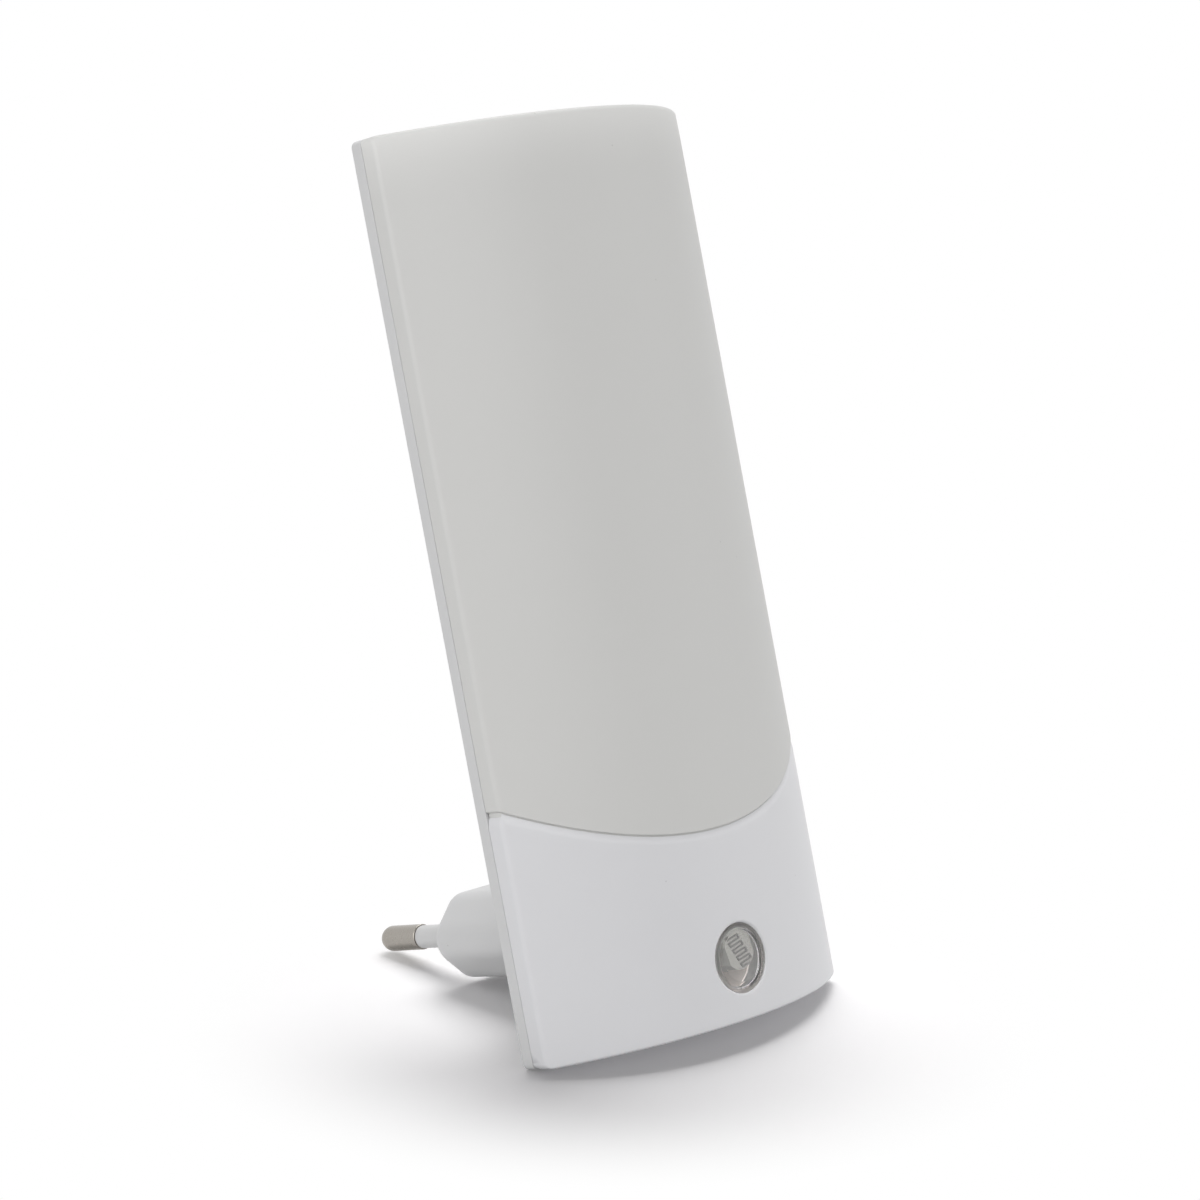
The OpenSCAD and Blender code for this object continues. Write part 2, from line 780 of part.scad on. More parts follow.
// Soldering lugs on the pins' tails
module contact_lugs() {
    color("goldenrod") in_case() for (side = [-1, 1])
        translate([side * pin_x, 0, plug_rise]) difference() {
            union() {
                bar_y(flange_r, lug_front_y, lug_back_y);
                rotate([0, side * 45, 0])
                    translate([-lug_w / 2, lug_front_y, -wire_drop * sqrt(2) - lug_w / 2])
                    cube([lug_w, lug_t, wire_drop * sqrt(2) + lug_w / 2]);
            }
            bar_y(pin_core_r + slip, lug_front_y - over, lug_back_y + over);
        }
}

// One mains wire: insulation along its route, and a bare end in the board
module mains_wire(side) {
    in_case() {
        bent_wire([
            [side * wire_x, lug_front_y, wire_z],
            [side * wire_x, wire_turn_y, wire_z],
            [side * wire_land_x, wire_turn_y, wire_z],
            [side * wire_land_x, board_back_y, wire_z]
        ], wire_r);
        translate([side * wire_land_x, 0, wire_z])
            bar_y(wire_core_r, board_front_y, board_back_y);
    }
}

// Wire from the left lug to the control board
module live_wire() {
    color("saddlebrown") mains_wire(-1);
}

// Wire from the right lug to the control board
module neutral_wire() {
    color("royalblue") mains_wire(1);
}

// Board with the supply and the dusk switch
module control_board() {
    color("olivedrab") in_case() difference() {
        translate([-control_w / 2, board_front_y, control_z0])
            cube([control_w, board_t, control_z1 - control_z0]);
        for (hole = control_holes)
            translate([hole[0], 0, hole[1]])
                bar_y(hole[2], board_front_y - over, board_back_y + over);
    }
}

// White board behind the diffuser that carries the lamps
module light_board() {
    color("ivory") in_case() difference() {
        translate([-light_w / 2, board_front_y, light_z0]) cube([light_w, board_t, light_h]);
        for (side = [-1, 1]) {
            for (z = light_screw_z)
                translate([side * light_screw_x, 0, z])
                    bar_y(screw_r + lead_slip, board_front_y - over, board_back_y + over);
            translate([side * link_x, 0, light_z0 + link_inset])
                bar_y(link_r + lead_slip, board_front_y - over, board_back_y + over);
        }
    }
}

// Light-emitting diodes on the light board
module light_diodes() {
    color("khaki") in_case() for (place = led_places)
        translate([place[0] - led_w / 2, board_front_y - led_h, place[1] - led_d / 2])
            cube([led_w, led_h, led_d]);
}

// Flat resistors between the rows of lamps
module light_resistors() {
    color("black") in_case() for (place = resistor_places)
        translate([place[0] - smd_l / 2, board_front_y - smd_h, place[1] - smd_w / 2])
            cube([smd_l, smd_h, smd_w]);
}

// Outline of the reflector tray, drawn in from its edge
module tray_outline(inset) {
    r = seam_r - baffle_gap - baffle_t - clear - inset;
    w = tray_w - 2 * inset;
    intersection() {
        translate([-w / 2, 0]) square([w, tray_top - inset]);
        union() {
            translate([0, seam_axis_z]) circle(r = r, $fn = crown_faces);
            translate([-w / 2, seam_axis_z]) square([w, case_h]);
        }
    }
}

// White tray that throws the lamps' light forwards, with windows for what stands on the boards
module reflector() {
    color("white") in_case() difference() {
        union() {
            plate_y(tray_front_y, tray_back_y) tray_outline(0);
            plate_y(tray_back_y - tray_rim, tray_back_y) difference() {
                tray_outline(0);
                tray_outline(tray_t);
            }
        }
        for (place = led_places)
            translate([place[0] - led_w / 2 - tray_window, tray_front_y - over,
                       place[1] - led_d / 2 - tray_window])
                cube([led_w + 2 * tray_window, tray_t + 2 * over, led_d + 2 * tray_window]);
        for (place = resistor_places)
            translate([place[0] - smd_l / 2 - tray_window, tray_front_y - over,
                       place[1] - smd_w / 2 - tray_window])
                cube([smd_l + 2 * tray_window, tray_t + 2 * over, smd_w + 2 * tray_window]);
        for (place = post_places)
            translate([place[0], 0, place[1]])
                bar_y(screw_head_r + tray_window, tray_front_y - over, tray_back_y + over);
    }
}

// Curved wall between the lamps and the sensor, on the control board
module light_baffle() {
    color("dimgray") in_case() intersection() {
        front_form(shell_wall + clear + tongue_t + clear, board_front_y);
        difference() {
            above_seam(baffle_gap);
            above_seam(baffle_gap + baffle_t);
        }
    }
}

// Two bare wires that join the boards
module link_wires() {
    color("silver") in_case() for (side = [-1, 1])
        bent_wire([
            [side * link_x, board_front_y, control_z1 - link_inset],
            [side * link_x, board_back_y + link_r + link_lift, control_z1 - link_inset],
            [side * link_x, board_back_y + link_r + link_lift, light_z0 + link_inset],
            [side * link_x, board_front_y, light_z0 + link_inset]
        ], link_r);
}

// Box-shaped capacitor that drops the mains voltage
module film_capacitor() {
    color("goldenrod") in_case() translate([film_at[0], 0, film_at[1]]) {
        translate([0, 0, -film_t / 2])
            plate_y(board_back_y + film_stand, board_back_y + film_stand + film_h)
                round_rect(film_l, film_t, film_corner_r);
        for (side = [-1, 1])
            translate([side * film_pitch / 2, 0, 0])
                bar_y(lead_r, board_front_y, board_back_y + film_stand);
    }
}

// Round capacitor that smooths the supply, with the groove of its crimped can
module smoothing_capacitor() {
    color("midnightblue") in_case() translate([can_at[0], 0, can_at[1]]) {
        difference() {
            bar_y(can_r, board_back_y, board_back_y + can_h);
            difference() {
                bar_y(can_r + over, board_back_y + can_h * can_groove_share,
                      board_back_y + can_h * can_groove_share + can_groove + can_groove);
                bar_y(can_r - can_groove, board_back_y, board_back_y + can_h);
            }
        }
        for (side = [-1, 1])
            translate([side * can_pitch / 2, 0, 0]) bar_y(lead_r, board_front_y, board_back_y);
    }
}

// Resistor that limits the inrush and opens like a fuse
module fuse_resistor() {
    color("darkseagreen") in_case() translate([fuse_at[0], 0, fuse_at[1]])
        axial(fuse_r, fuse_l, lead_r, board_back_y, -1);
}

// Resistor that empties the film capacitor when the light is pulled out
module bleed_resistor() {
    color("peru") in_case() translate([bleed_at[0], 0, bleed_at[1]])
        axial(bleed_r, bleed_l, lead_r, board_back_y, -1);
}

// Four diodes that rectify the supply
module rectifier_diodes() {
    color("black") in_case() for (x = diode_x)
        translate([x, 0, diode_z]) rotate([0, 90, 0])
            axial(diode_r, diode_l, lead_r, board_back_y, -1);
}

// Glass diode that holds the supply's voltage
module zener_diode() {
    color("orangered") in_case() translate([zener_at[0], 0, zener_at[1]])
        axial(small_r, small_l, small_lead_r, board_front_y, 1);
}

// Transistor that switches the lamps
module transistor() {
    body_y = board_front_y - transistor_stand;
    color("black") in_case() translate([transistor_at[0], 0, transistor_at[1]]) {
        difference() {
            bar_y(transistor_r, body_y - transistor_h, body_y);
            translate([-transistor_r, body_y - transistor_h - over, transistor_flat])
                cube([2 * transistor_r, transistor_h + 2 * over, transistor_r]);
        }
        for (i = [-1, 0, 1])
            translate([i * transistor_pitch, 0, 0])
                bar_y(small_lead_r, body_y, board_back_y);
    }
}

// Resistors of the dusk switch
module signal_resistors() {
    color("peru") in_case() for (z = signal_z)
        translate([-front_part_x, 0, z])
            axial(small_r, small_l, small_lead_r, board_front_y, 1);
}

// Screws that hold both boards on their posts
module board_screws() {
    color("silver") in_case() for (place = post_places)
        translate([place[0], board_front_y, place[1]]) screw(board_screw_l);
}

// Screws from the back that hold the lower cover
module case_screws() {
    color("silver") in_case() for (x = [-case_screw_x, case_screw_x])
        translate([x, -head_sink - screw_head_h, case_screw_z])
            rotate([180, 0, 0]) screw(case_screw_l);
}

rear_housing();
diffuser();
lower_cover();
sensor_lens();
sensor_shroud();
photocell();
photocell_track();
photocell_leads();
plug_pins();
pin_sleeves();
pin_retainer();
retainer_screw();
contact_lugs();
live_wire();
neutral_wire();
control_board();
light_board();
light_diodes();
light_resistors();
reflector();
light_baffle();
link_wires();
film_capacitor();
smoothing_capacitor();
fuse_resistor();
bleed_resistor();
rectifier_diodes();
zener_diode();
transistor();
signal_resistors();
board_screws();
case_screws();
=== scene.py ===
"""Looks of a plug-in night light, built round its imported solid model.

The two front shells, the rear housing, the sensor window and the plug pins are modelled again as
fine closed meshes. The other pieces keep their solids and get their finishes here. Shapes are in
millimetres, with X across the case, Y into the wall from the case's back, and Z up from its bottom.
"""
import math

import bmesh
import bpy
import numpy as np
from mathutils import Matrix, Vector


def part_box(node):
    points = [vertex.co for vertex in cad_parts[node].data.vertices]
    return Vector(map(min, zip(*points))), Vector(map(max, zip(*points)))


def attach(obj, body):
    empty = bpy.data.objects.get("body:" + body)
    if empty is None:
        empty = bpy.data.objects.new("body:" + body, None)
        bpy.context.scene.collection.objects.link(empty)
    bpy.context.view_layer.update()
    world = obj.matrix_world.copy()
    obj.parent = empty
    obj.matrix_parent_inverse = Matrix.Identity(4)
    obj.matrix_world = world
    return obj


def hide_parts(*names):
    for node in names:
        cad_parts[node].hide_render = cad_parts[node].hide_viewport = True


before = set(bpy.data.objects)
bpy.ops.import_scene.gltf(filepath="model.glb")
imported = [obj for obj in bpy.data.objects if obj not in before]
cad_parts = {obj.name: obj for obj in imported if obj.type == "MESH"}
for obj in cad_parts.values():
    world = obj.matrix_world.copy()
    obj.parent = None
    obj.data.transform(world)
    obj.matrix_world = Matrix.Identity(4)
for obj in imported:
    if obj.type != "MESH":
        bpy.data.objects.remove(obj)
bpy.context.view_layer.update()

# Case: its size is that of the solids, whose origin is the middle of the plug's end face
MM = 0.001
PLUG_REACH = 32.5
HOUSING_LOW, HOUSING_HIGH = (np.array(corner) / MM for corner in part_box("rear_housing"))
CASE_TO_ROW = np.array([0.0, -PLUG_REACH, HOUSING_LOW[2]])
CASE_W = HOUSING_HIGH[0] - HOUSING_LOW[0]
CASE_H = HOUSING_HIGH[2] - HOUSING_LOW[2]
FRONT_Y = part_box("lower_cover")[0][1] / MM + PLUG_REACH

# Front shells: SIDE_DEPTH is that of the whole case at its sides, of which RIM_DEPTH is the rear
# housing's. Near the top the front rolls back by TOP_ROLL, which falls off over TOP_ROLL_REACH.
# LIP is the radius of the small lips along the rim and the seam, and RIM_LINE the gap at the rim.
SIDE_DEPTH = 5.0
RIM_DEPTH = 2.1
SHELL_WALL = 1.8
TOP_EDGE_R = 1.0
TOP_ROLL = 0.2
TOP_ROLL_REACH = 3.0
FOOT_EDGE_R = 0.4
SIDE_EDGE_R = 1.5
CORNER_R = TOP_EDGE_R
LIP = 0.1
RIM_LINE = 0.05
SHELL_BACK_Y = -RIM_DEPTH - RIM_LINE

# Crown: an upright cylinder through both side edges and the middle of the front
CROWN_RISE = -FRONT_Y - SIDE_DEPTH
CROWN_R = ((CASE_W / 2) ** 2 + CROWN_RISE**2) / (2 * CROWN_RISE)
CROWN_Y = CROWN_R + FRONT_Y
EDGE_X = CASE_W / 2 - SIDE_EDGE_R
CROWN_TURN = math.asin(EDGE_X / (CROWN_R - SIDE_EDGE_R))
EDGE_Y = CROWN_Y - (CROWN_R - SIDE_EDGE_R) * math.cos(CROWN_TURN)

# Seam between the shells: an arc about an axis along Y. The cover's edge is sunk along it, rises
# by SEAM_NOTCH at the sides, and is thinned behind to make room for the diffuser's ledge.
SEAM_GAP = 0.24
SEAM_H = 37.5
SEAM_DROP = 9.1
SEAM_R = ((CASE_W / 2) ** 2 + SEAM_DROP**2) / (2 * SEAM_DROP)
SEAM_AXIS_Z = SEAM_H - SEAM_DROP + SEAM_R
SEAM_BEVEL = 1.3
SEAM_SINK = 0.42
SEAM_NOTCH = 0.5
REBATE_REACH = 1.4
REBATE_DEPTH = 0.45

# Rear box and plug. NOSE_Y is the end of the hollow in the plug.
PIN_RISE = 16.3
PIN_X = 9.0
SLEEVE_Y = 26.5
BOX_W = 38.0
BOX_H = 42.5
BOX_FOOT = 5.5
BOX_DEPTH = 13.0
BOX_CORNER_R = 3.0
BOX_EDGE_R = 0.9
BOX_WALL = 1.8
BACK_WALL = 1.6
BACK_EDGE_R = 0.2
FILLET_R = 0.6
PLUG_W = 35.3
PLUG_H = 13.7
PLUG_CORNER_R = 4.2
PLUG_EDGE_R = 1.2
PLUG_DRAFT = 0.25
PLUG_WALL = 1.8
NOSE_Y = 23.5

# Sensor window: it is clear to CLEAR_R from its axis, and matt at its rim
SENSOR_Z = 9.0
WINDOW_R = 5.15
WINDOW_FIT = 0.03
HOLE_EDGE_R = 0.4
CLEAR_R = 4.3
RIM_BLEND = 0.3

# Meshes: the least radii of edges and corners inside a wall, the distance past a round edge of a
# point that keeps the flat side's shading flat, and the metres within which points are merged
LEAST_EDGE_R = 0.02
LEAST_CORNER_R = 0.1
LEAST_OUTLINE_R = 0.2
HOLD = 0.25
MERGE_WITHIN = 2e-7

# Finishes, as red, green and blue shares of light. The diffuser's colour is paler at its top by the
# share below, a painted glow for light that enters there, and it falls off over the reach below it.
OPAL = (0.584, 0.582, 0.570)
OPAL_PAINTED_GLOW = 0.2
OPAL_PAINTED_GLOW_REACH = 11.0
WHITE_ABS = (0.655, 0.655, 0.672)
HOUSING_WHITE = (0.572, 0.572, 0.576)
SLEEVE_WHITE = (0.565, 0.565, 0.567)
NICKEL = (0.375, 0.352, 0.320)
CLEAR = (0.97, 0.96, 0.95)
DUST_SHADE = 0.45


def linear(*shades):
    """Colour as shares of light from its red, green and blue shades of 0 to 1 as they are seen."""
    return tuple(s / 12.92 if s <= 0.04045 else ((s + 0.055) / 1.055) ** 2.4 for s in shades)


# Meshes

def turn_steps(start, end, steps):
    """Evenly spaced angles in radians between two angles in degrees, both ends included."""
    return np.radians(np.linspace(start, end, steps + 1))


def circle(turn):
    """Points of the unit circle at angles."""
    return np.stack([np.cos(turn), np.sin(turn)], axis=-1)


def round_corners(corners, steps=6):
    """Open line through corners, each given as two coordinates and a radius. A corner with a
    radius becomes an arc that touches both of its sides, and one more point a quarter of the
    radius along each side keeps the shading of the flat side flat."""
    points = np.array([corner[:2] for corner in corners], float)
    line = [points[:1]]
    for before, at, after, corner in zip(points[:-2], points[1:-1], points[2:], corners[1:-1]):
        radius = corner[2]
        if radius == 0:
            line.append(at[None])
            continue
        back = (before - at) / np.linalg.norm(before - at)
        on = (after - at) / np.linalg.norm(after - at)
        half = math.acos(np.clip(back @ on, -1, 1)) / 2
        reach = radius / math.tan(half)
        middle = (back + on) / np.linalg.norm(back + on)
        centre = at + middle * radius / math.sin(half)
        turn = math.pi - 2 * half
        share = np.linspace(0, 1, steps + 1)[:, None]
        arc = np.sin((1 - share) * turn) * (at + back * reach - centre)
        arc = arc + np.sin(share * turn) * (at + on * reach - centre)
        hold = radius / 4
        line += [(at + back * (reach + hold))[None], centre + arc / math.sin(turn),
                 (at + on * (reach + hold))[None]]
    line.append(points[-1:])
    return np.concatenate(line)


def grid_faces(rows, columns, closed=False):
    """Quads of a grid whose points are counted row by row: each joins a point, the next one in
    its row, and the two beside them in the next row. A closed grid also joins each row's ends."""
    across = np.arange(columns if closed else columns - 1)
    here = np.arange(rows - 1)[:, None] * columns
    first, second = here + across, here + (across + 1) % columns
    return np.stack([first, second, second + columns, first + columns], axis=-1).reshape(-1, 4)


def thicken(outer, inner, faces):
    """Closed shell from an outer and an inner sheet with the same faces: the inner faces are
    turned round, and each edge that only one face uses gets a quad between the two sheets."""
    count = len(outer)
    start, end = faces.ravel(), np.roll(faces, -1, axis=1).ravel()
    alone = ~np.isin(start * count + end, end * count + start)
    start, end = start[alone], end[alone]
    walls = np.stack([end, start, start + count, end + count], axis=1)
    return np.concatenate([outer, inner]), np.concatenate([faces, faces[:, ::-1] + count, walls])


def join_meshes(*parts):
    """One array of points and one of faces from several, each part's faces counted on."""
    sizes = np.cumsum([0] + [len(points) for points, faces in parts[:-1]])
    return (np.concatenate([points for points, faces in parts]),
            np.concatenate([faces + size for (points, faces), size in zip(parts, sizes)]))


def make_mesh(name, shape):
    """Mesh from points in the case's millimetres and quads. Points that lie together are merged,
    and the faces are turned outwards."""
    points, faces = shape
    mesh = bpy.data.meshes.new(name)
    mesh.from_pydata(((points + CASE_TO_ROW) * MM).tolist(), [], faces.tolist())
    work = bmesh.new()
    work.from_mesh(mesh)
    bmesh.ops.remove_doubles(work, verts=work.verts, dist=MERGE_WITHIN)
    bmesh.ops.recalc_face_normals(work, faces=work.faces)
    work.to_mesh(mesh)
    work.free()
    return mesh


def shade_edges(mesh, sharp_angle=35):
    """Smooth shading, except across edges past the sharp angle in degrees."""
    mesh.shade_smooth()
    mesh.set_sharp_from_angle(angle=math.radians(sharp_angle))


def add_object(name, data):
    """Object in the scene for a mesh, a camera or a lamp."""
    item = bpy.data.objects.new(name, data)
    bpy.context.scene.collection.objects.link(item)
    return item


def add_piece(name, shape, material, replaced, sharp_angle=35):
    """Visible piece of a closed shape, in place of the solids that it replaces."""
    mesh = make_mesh(name, shape)
    shade_edges(mesh, sharp_angle)
    mesh.materials.append(material)
    piece = add_object(name, mesh)
    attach(piece, "root")
    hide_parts(*replaced)
    return piece


def combine(piece, shape, operation):
    """Cuts closed shapes out of a piece, or joins them on, and leaves one closed mesh."""
    tool = add_object("tool", make_mesh("tool", shape))
    modifier = piece.modifiers.new("combine", "BOOLEAN")
    modifier.operation, modifier.object, modifier.solver = operation, tool, "EXACT"
    evaluated = piece.evaluated_get(bpy.context.evaluated_depsgraph_get())
    mesh = bpy.data.meshes.new_from_object(evaluated)
    piece.modifiers.clear()
    piece.data = mesh
    bpy.data.objects.remove(tool)
    shade_edges(mesh)


def lathe(profile, x, z, sides=96, lean=None):
    """Solid turned about an axis along Y through x and z: each profile point, a radius and a
    depth, goes round a circle. A lean gives each point's circle its own sideways and upward
    shift. A profile that starts and ends off the axis is closed into a ring."""
    radius, depth = profile[:, :1], profile[:, 1:2]
    if profile[0, 0] > 0:
        radius, depth = np.vstack([radius, radius[:1]]), np.vstack([depth, depth[:1]])
    shift = np.zeros((len(radius), 2)) if lean is None else lean
    turn = np.linspace(0, 2 * math.pi, sides, endpoint=False)[None, :]
    points = np.stack(np.broadcast_arrays(
        x + shift[:, :1] + radius * np.cos(turn),
        depth,
        z + shift[:, 1:] + radius * np.sin(turn),
    ), axis=-1)
    return points.reshape(-1, 3), grid_faces(len(radius), sides, closed=True)


# Front shells

LIP_TURNS = turn_steps(0, 90, 5)[1:]
HOLE_SHARES = np.linspace(0, 1, 12)[1:] ** 0.9
HOLE_TURNS = turn_steps(0, 90, 6)[1:]


def plan_columns(back_y, crown_steps=160, edge_steps=12):
    """Columns across the front from rim to rim. Each has its point and outward normal in the
    plan section, its turn round the rim's small lip, and its share of the way across. Points lie
    on the crown's arc, on the arcs of the two side edges and on the flat sides."""
    edge = np.linspace(CROWN_TURN, math.pi / 2, edge_steps + 1)[1:]
    lip_steps = len(LIP_TURNS)
    side = np.concatenate([edge, np.full(2 + lip_steps, math.pi / 2)])
    side_y = np.repeat([EDGE_Y, EDGE_Y + HOLD, back_y - LIP], [edge_steps, 1, 1 + lip_steps])
    side_lip = np.concatenate([np.zeros(edge_steps + 2), LIP_TURNS])

    def mirrored(values, crown):
        return np.concatenate([values[::-1], np.full(crown_steps + 1, crown, float), values])

    crown_turns = np.linspace(-CROWN_TURN, CROWN_TURN, crown_steps + 1)
    angle = np.concatenate([-side[::-1], crown_turns, side])
    normal = np.stack([np.sin(angle), -np.cos(angle)], axis=1)
    centre_x = np.sign(angle) * mirrored(np.full(len(side), EDGE_X), 0)
    centre = np.stack([centre_x, mirrored(side_y, CROWN_Y)], axis=1)
    point = centre + mirrored(np.full(len(side), SIDE_EDGE_R), CROWN_R)[:, None] * normal
    steps = np.linalg.norm(np.diff(point, axis=0), axis=1)
    share = np.concatenate([[0], np.cumsum(steps)]) / steps.sum() * 2 - 1
    return {"point": point, "normal": normal, "lip": mirrored(side_lip, 0), "share": share}


def make_rows(parts):
    """Rows of a shell from groups of values. A row may follow the seam, with a shift away from
    it, or a height, or blend the two. It may lie at a turn round the top edge, at a share of the
    way down the end wall, or at a turn round the lip of the rim or of the seam. Its front may be
    sunk or rolled back, and its back thinned by a rebate."""
    keys = ("follow", "shift", "height", "turn", "down", "rim_lip", "seam_lip", "sink", "roll",
            "rebate")
    counts = [max(np.size(value) for value in part.values()) for part in parts]
    return {key: np.concatenate([np.broadcast_to(np.asarray(part.get(key, 0.0), float), count)
                                 for part, count in zip(parts, counts)]) for key in keys}


def seam_rows(is_top, start_z):
    """Rows of a front shell from its edge along the seam to a level row. The cover's edge is
    sunk by a bevel whose depth falls as the square of the way across, and is thinned behind."""
    away = 1 if is_top else -1
    sink = 0 if is_top else SEAM_SINK
    rebate = 0 if is_top else SHELL_WALL - REBATE_DEPTH - LIP

    def row_group(distance, **values):
        return {"follow": 1, "shift": away * (SEAM_GAP / 2 + distance), **values}

    def fall(distance):
        return sink * np.clip(1 - distance / SEAM_BEVEL, 0, 1) ** 2

    seam_lip = LIP_TURNS[::-1]
    near = np.array([LIP, 0.22, 0.36, 0.5, 0.65, 0.8, 0.95, 1.1, 1.25, REBATE_REACH])
    far = np.array([1.6, 2.0])
    level = np.linspace(1, 0, 12)[1:-1]
    return [
        row_group(LIP * (1 - np.sin(seam_lip)), seam_lip=seam_lip, sink=fall(LIP), rebate=rebate),
        row_group(near, sink=fall(near), rebate=rebate),
        row_group(far),
        {**row_group(far[-1]), "follow": level, "height": start_z},
    ]


def diffuser_rows():
    """Rows of the diffuser, from the seam over its top edge to the rim. Near the top the
    front rolls back by a depth that falls off with the distance from the edge."""
    end_z = CASE_H - TOP_EDGE_R
    below = np.array([16, 13, 11, 9, 7.5, 6, 5, 4, 3.2, 2.5, 1.9, 1.4, 1.0, 0.6, 0.3, 0])
    down = np.array([0.015, 0.06, 0.2, 0.4, 0.6, 0.8, 0.94, 1.0])
    roll = TOP_ROLL * np.exp(-below / TOP_ROLL_REACH)
    edge = {"height": end_z, "roll": TOP_ROLL}
    return make_rows(seam_rows(True, end_z - below[0]) + [
        {"height": end_z - below, "roll": roll},
        {**edge, "turn": turn_steps(0, 90, 12)[1:]},
        {**edge, "turn": math.pi / 2, "down": down},
        {**edge, "turn": math.pi / 2, "down": 1, "rim_lip": LIP_TURNS},
    ])


def seam_z(x, shift):
    """Height at x of the seam's arc, moved up by a shift that shortens its radius."""
    return SEAM_AXIS_Z - np.sqrt((SEAM_R - shift) ** 2 - x**2)


def front_sheet(rows, columns, inset, is_top):
    """Grid of points on the front's surface, drawn in by an inset. Each is its plan point moved
    in along its normal, with the seam, the rounded top edge, the flat end wall and the rim put
    on as make_rows says. Only the outer sheet has its lips turned in and its bevel sunk, and
    only the inner one has the rebate."""
    row = {key: value[:, None] for key, value in rows.items()}
    (x, y), (normal_x, normal_y) = columns["point"].T, columns["normal"].T
    cos, sin = np.cos(row["turn"]), np.sin(row["turn"])
    edge_r = max(TOP_EDGE_R - inset, LEAST_EDGE_R)
    depth = inset + edge_r * (1 - cos) - (row["rebate"] if inset else 0)
    x, y = x - depth * normal_x, y - depth * normal_y + row["roll"] * normal_y**2
    notch = 0 if is_top else -SEAM_NOTCH * side_ramp(columns)
    z = np.minimum(row["height"], CASE_H - inset - edge_r) * (1 - row["follow"])
    z = z + row["follow"] * seam_z(x, row["shift"] + notch) + edge_r * sin
    foot_x = (CASE_W / 2 - inset - edge_r) * columns["share"]
    lip = np.maximum(row["rim_lip"], columns["lip"])
    x = x + row["down"] * (foot_x - x)
    y = y + row["down"] * (SHELL_BACK_Y - LIP - y) + LIP * np.sin(lip)
    if inset == 0:
        back = LIP * (2 - np.cos(lip) - np.cos(row["seam_lip"])) + row["sink"]
        x, y, z = x - back * cos * normal_x, y - back * cos * normal_y, z - back * sin
    return np.stack([x, y, z], axis=-1)


def side_ramp(columns):
    """0 over the crown, rising smoothly to 1 in the middle of each rounded side edge."""
    ramp_start, ramp_share = 0.4, 0.25
    angle = np.arctan2(np.abs(columns["normal"][:, 0]), -columns["normal"][:, 1])
    round_edge = (angle - CROWN_TURN) / (math.pi / 2 - CROWN_TURN)
    share = np.clip((round_edge - ramp_start) / ramp_share, 0, 1)
    return share * share * (3 - 2 * share)


def outline_foot(along, corner_r, half_w):
    """Foot of the case's outline at a length along it from the middle: a straight line, and
    then a quarter circle up into the side. Gives x, the height and the outward normal."""
    straight = half_w - corner_r
    turn = np.clip((np.abs(along) - straight) / corner_r, 0, math.pi / 2)
    side = np.sign(along)
    x = side * (np.minimum(np.abs(along), straight) + corner_r * np.sin(turn))
    return x, corner_r * (1 - np.cos(turn)), side * np.sin(turn), -np.cos(turn)


def roll_ball(corner, first, second, radius, steps=6):
    """Rows round an edge between two surfaces with given normals. A ball of the radius rolls
    along it, and its points lie on the great circle between the two normals."""
    least_angle = 1e-4
    cosine = np.clip((first * second).sum(axis=1, keepdims=True), -1, 1)
    centre = corner - radius * (first + second) / (1 + cosine)
    angle = np.maximum(np.arccos(cosine), least_angle)
    share = np.linspace(0, 1, steps + 1)[:, None, None]
    arc = np.sin((1 - share) * angle) * first + np.sin(share * angle) * second
    return centre + radius * arc / np.sin(angle)


def cover_foot(columns, inset):
    """Rows of the cover from just above its bottom edge to the rim. The edge is where the front
    meets the case's outline. The end wall's points stay on the outline, and their length along
    it and their depth both go in a straight line from the edge to the rim."""
    corner_r, half_w = max(CORNER_R - inset, LEAST_CORNER_R), CASE_W / 2 - inset
    point = columns["point"] - inset * columns["normal"]
    side, across, straight = np.sign(point[:, 0]), np.abs(point[:, 0]), half_w - corner_r
    past = np.clip((across - straight) / corner_r, 0, 1)
    along = side * (np.minimum(across, straight) + corner_r * np.arcsin(past))
    x, z, normal_x, normal_z = outline_foot(along, corner_r, half_w)
    corner = np.stack([x, point[:, 1], z + inset], axis=1)
    front = np.insert(columns["normal"], 2, 0, axis=1)
    foot = np.stack([normal_x, 0 * x, normal_z], axis=1)
    edge = roll_ball(corner, front, foot, max(FOOT_EDGE_R - inset, LEAST_EDGE_R))
    above = edge[:1] + np.array([0, 0, HOLD])

    down = np.array([0.03, 0.08, 0.2, 0.4, 0.6, 0.8, 0.94, 1.0])[:, None]
    back_y = SHELL_BACK_Y - LIP
    start_y = edge[-1, :, 1]
    end_along = (straight + corner_r * math.pi / 4) * columns["share"]
    wall_x, wall_z = outline_foot(along + down * (end_along - along), corner_r, half_w)[:2]
    wall = np.stack([wall_x, start_y + down * (back_y - start_y), wall_z + inset], axis=-1)

    lip = LIP_TURNS[:, None]
    end_x, end_z, out_x, out_z = outline_foot(end_along, corner_r, half_w)
    turned = LIP * (1 - np.cos(lip)) * (inset == 0)
    rim = np.stack(np.broadcast_arrays(
        end_x - turned * out_x,
        back_y + LIP * np.sin(lip),
        end_z + inset - turned * out_z,
    ), axis=-1)
    sheet = np.concatenate([above, edge, wall, rim])
    at_rim = columns["lip"] > 0
    sheet[:, at_rim, 1] = np.maximum(sheet[:, at_rim, 1], back_y)
    return sheet


def shell(rows, columns, insets, is_top):
    """Closed shell between the front's surfaces at two insets."""
    sheets = [front_sheet(rows, columns, inset, is_top) for inset in insets]
    faces = grid_faces(*sheets[0].shape[:2])
    return thicken(sheets[0].reshape(-1, 3), sheets[1].reshape(-1, 3), faces)


def crown_point(x, z, inset):
    """Point on the crown at x and z, drawn in by an inset that shortens its radius."""
    return np.stack([x, CROWN_Y - np.sqrt((CROWN_R - inset) ** 2 - x**2), z], axis=-1)


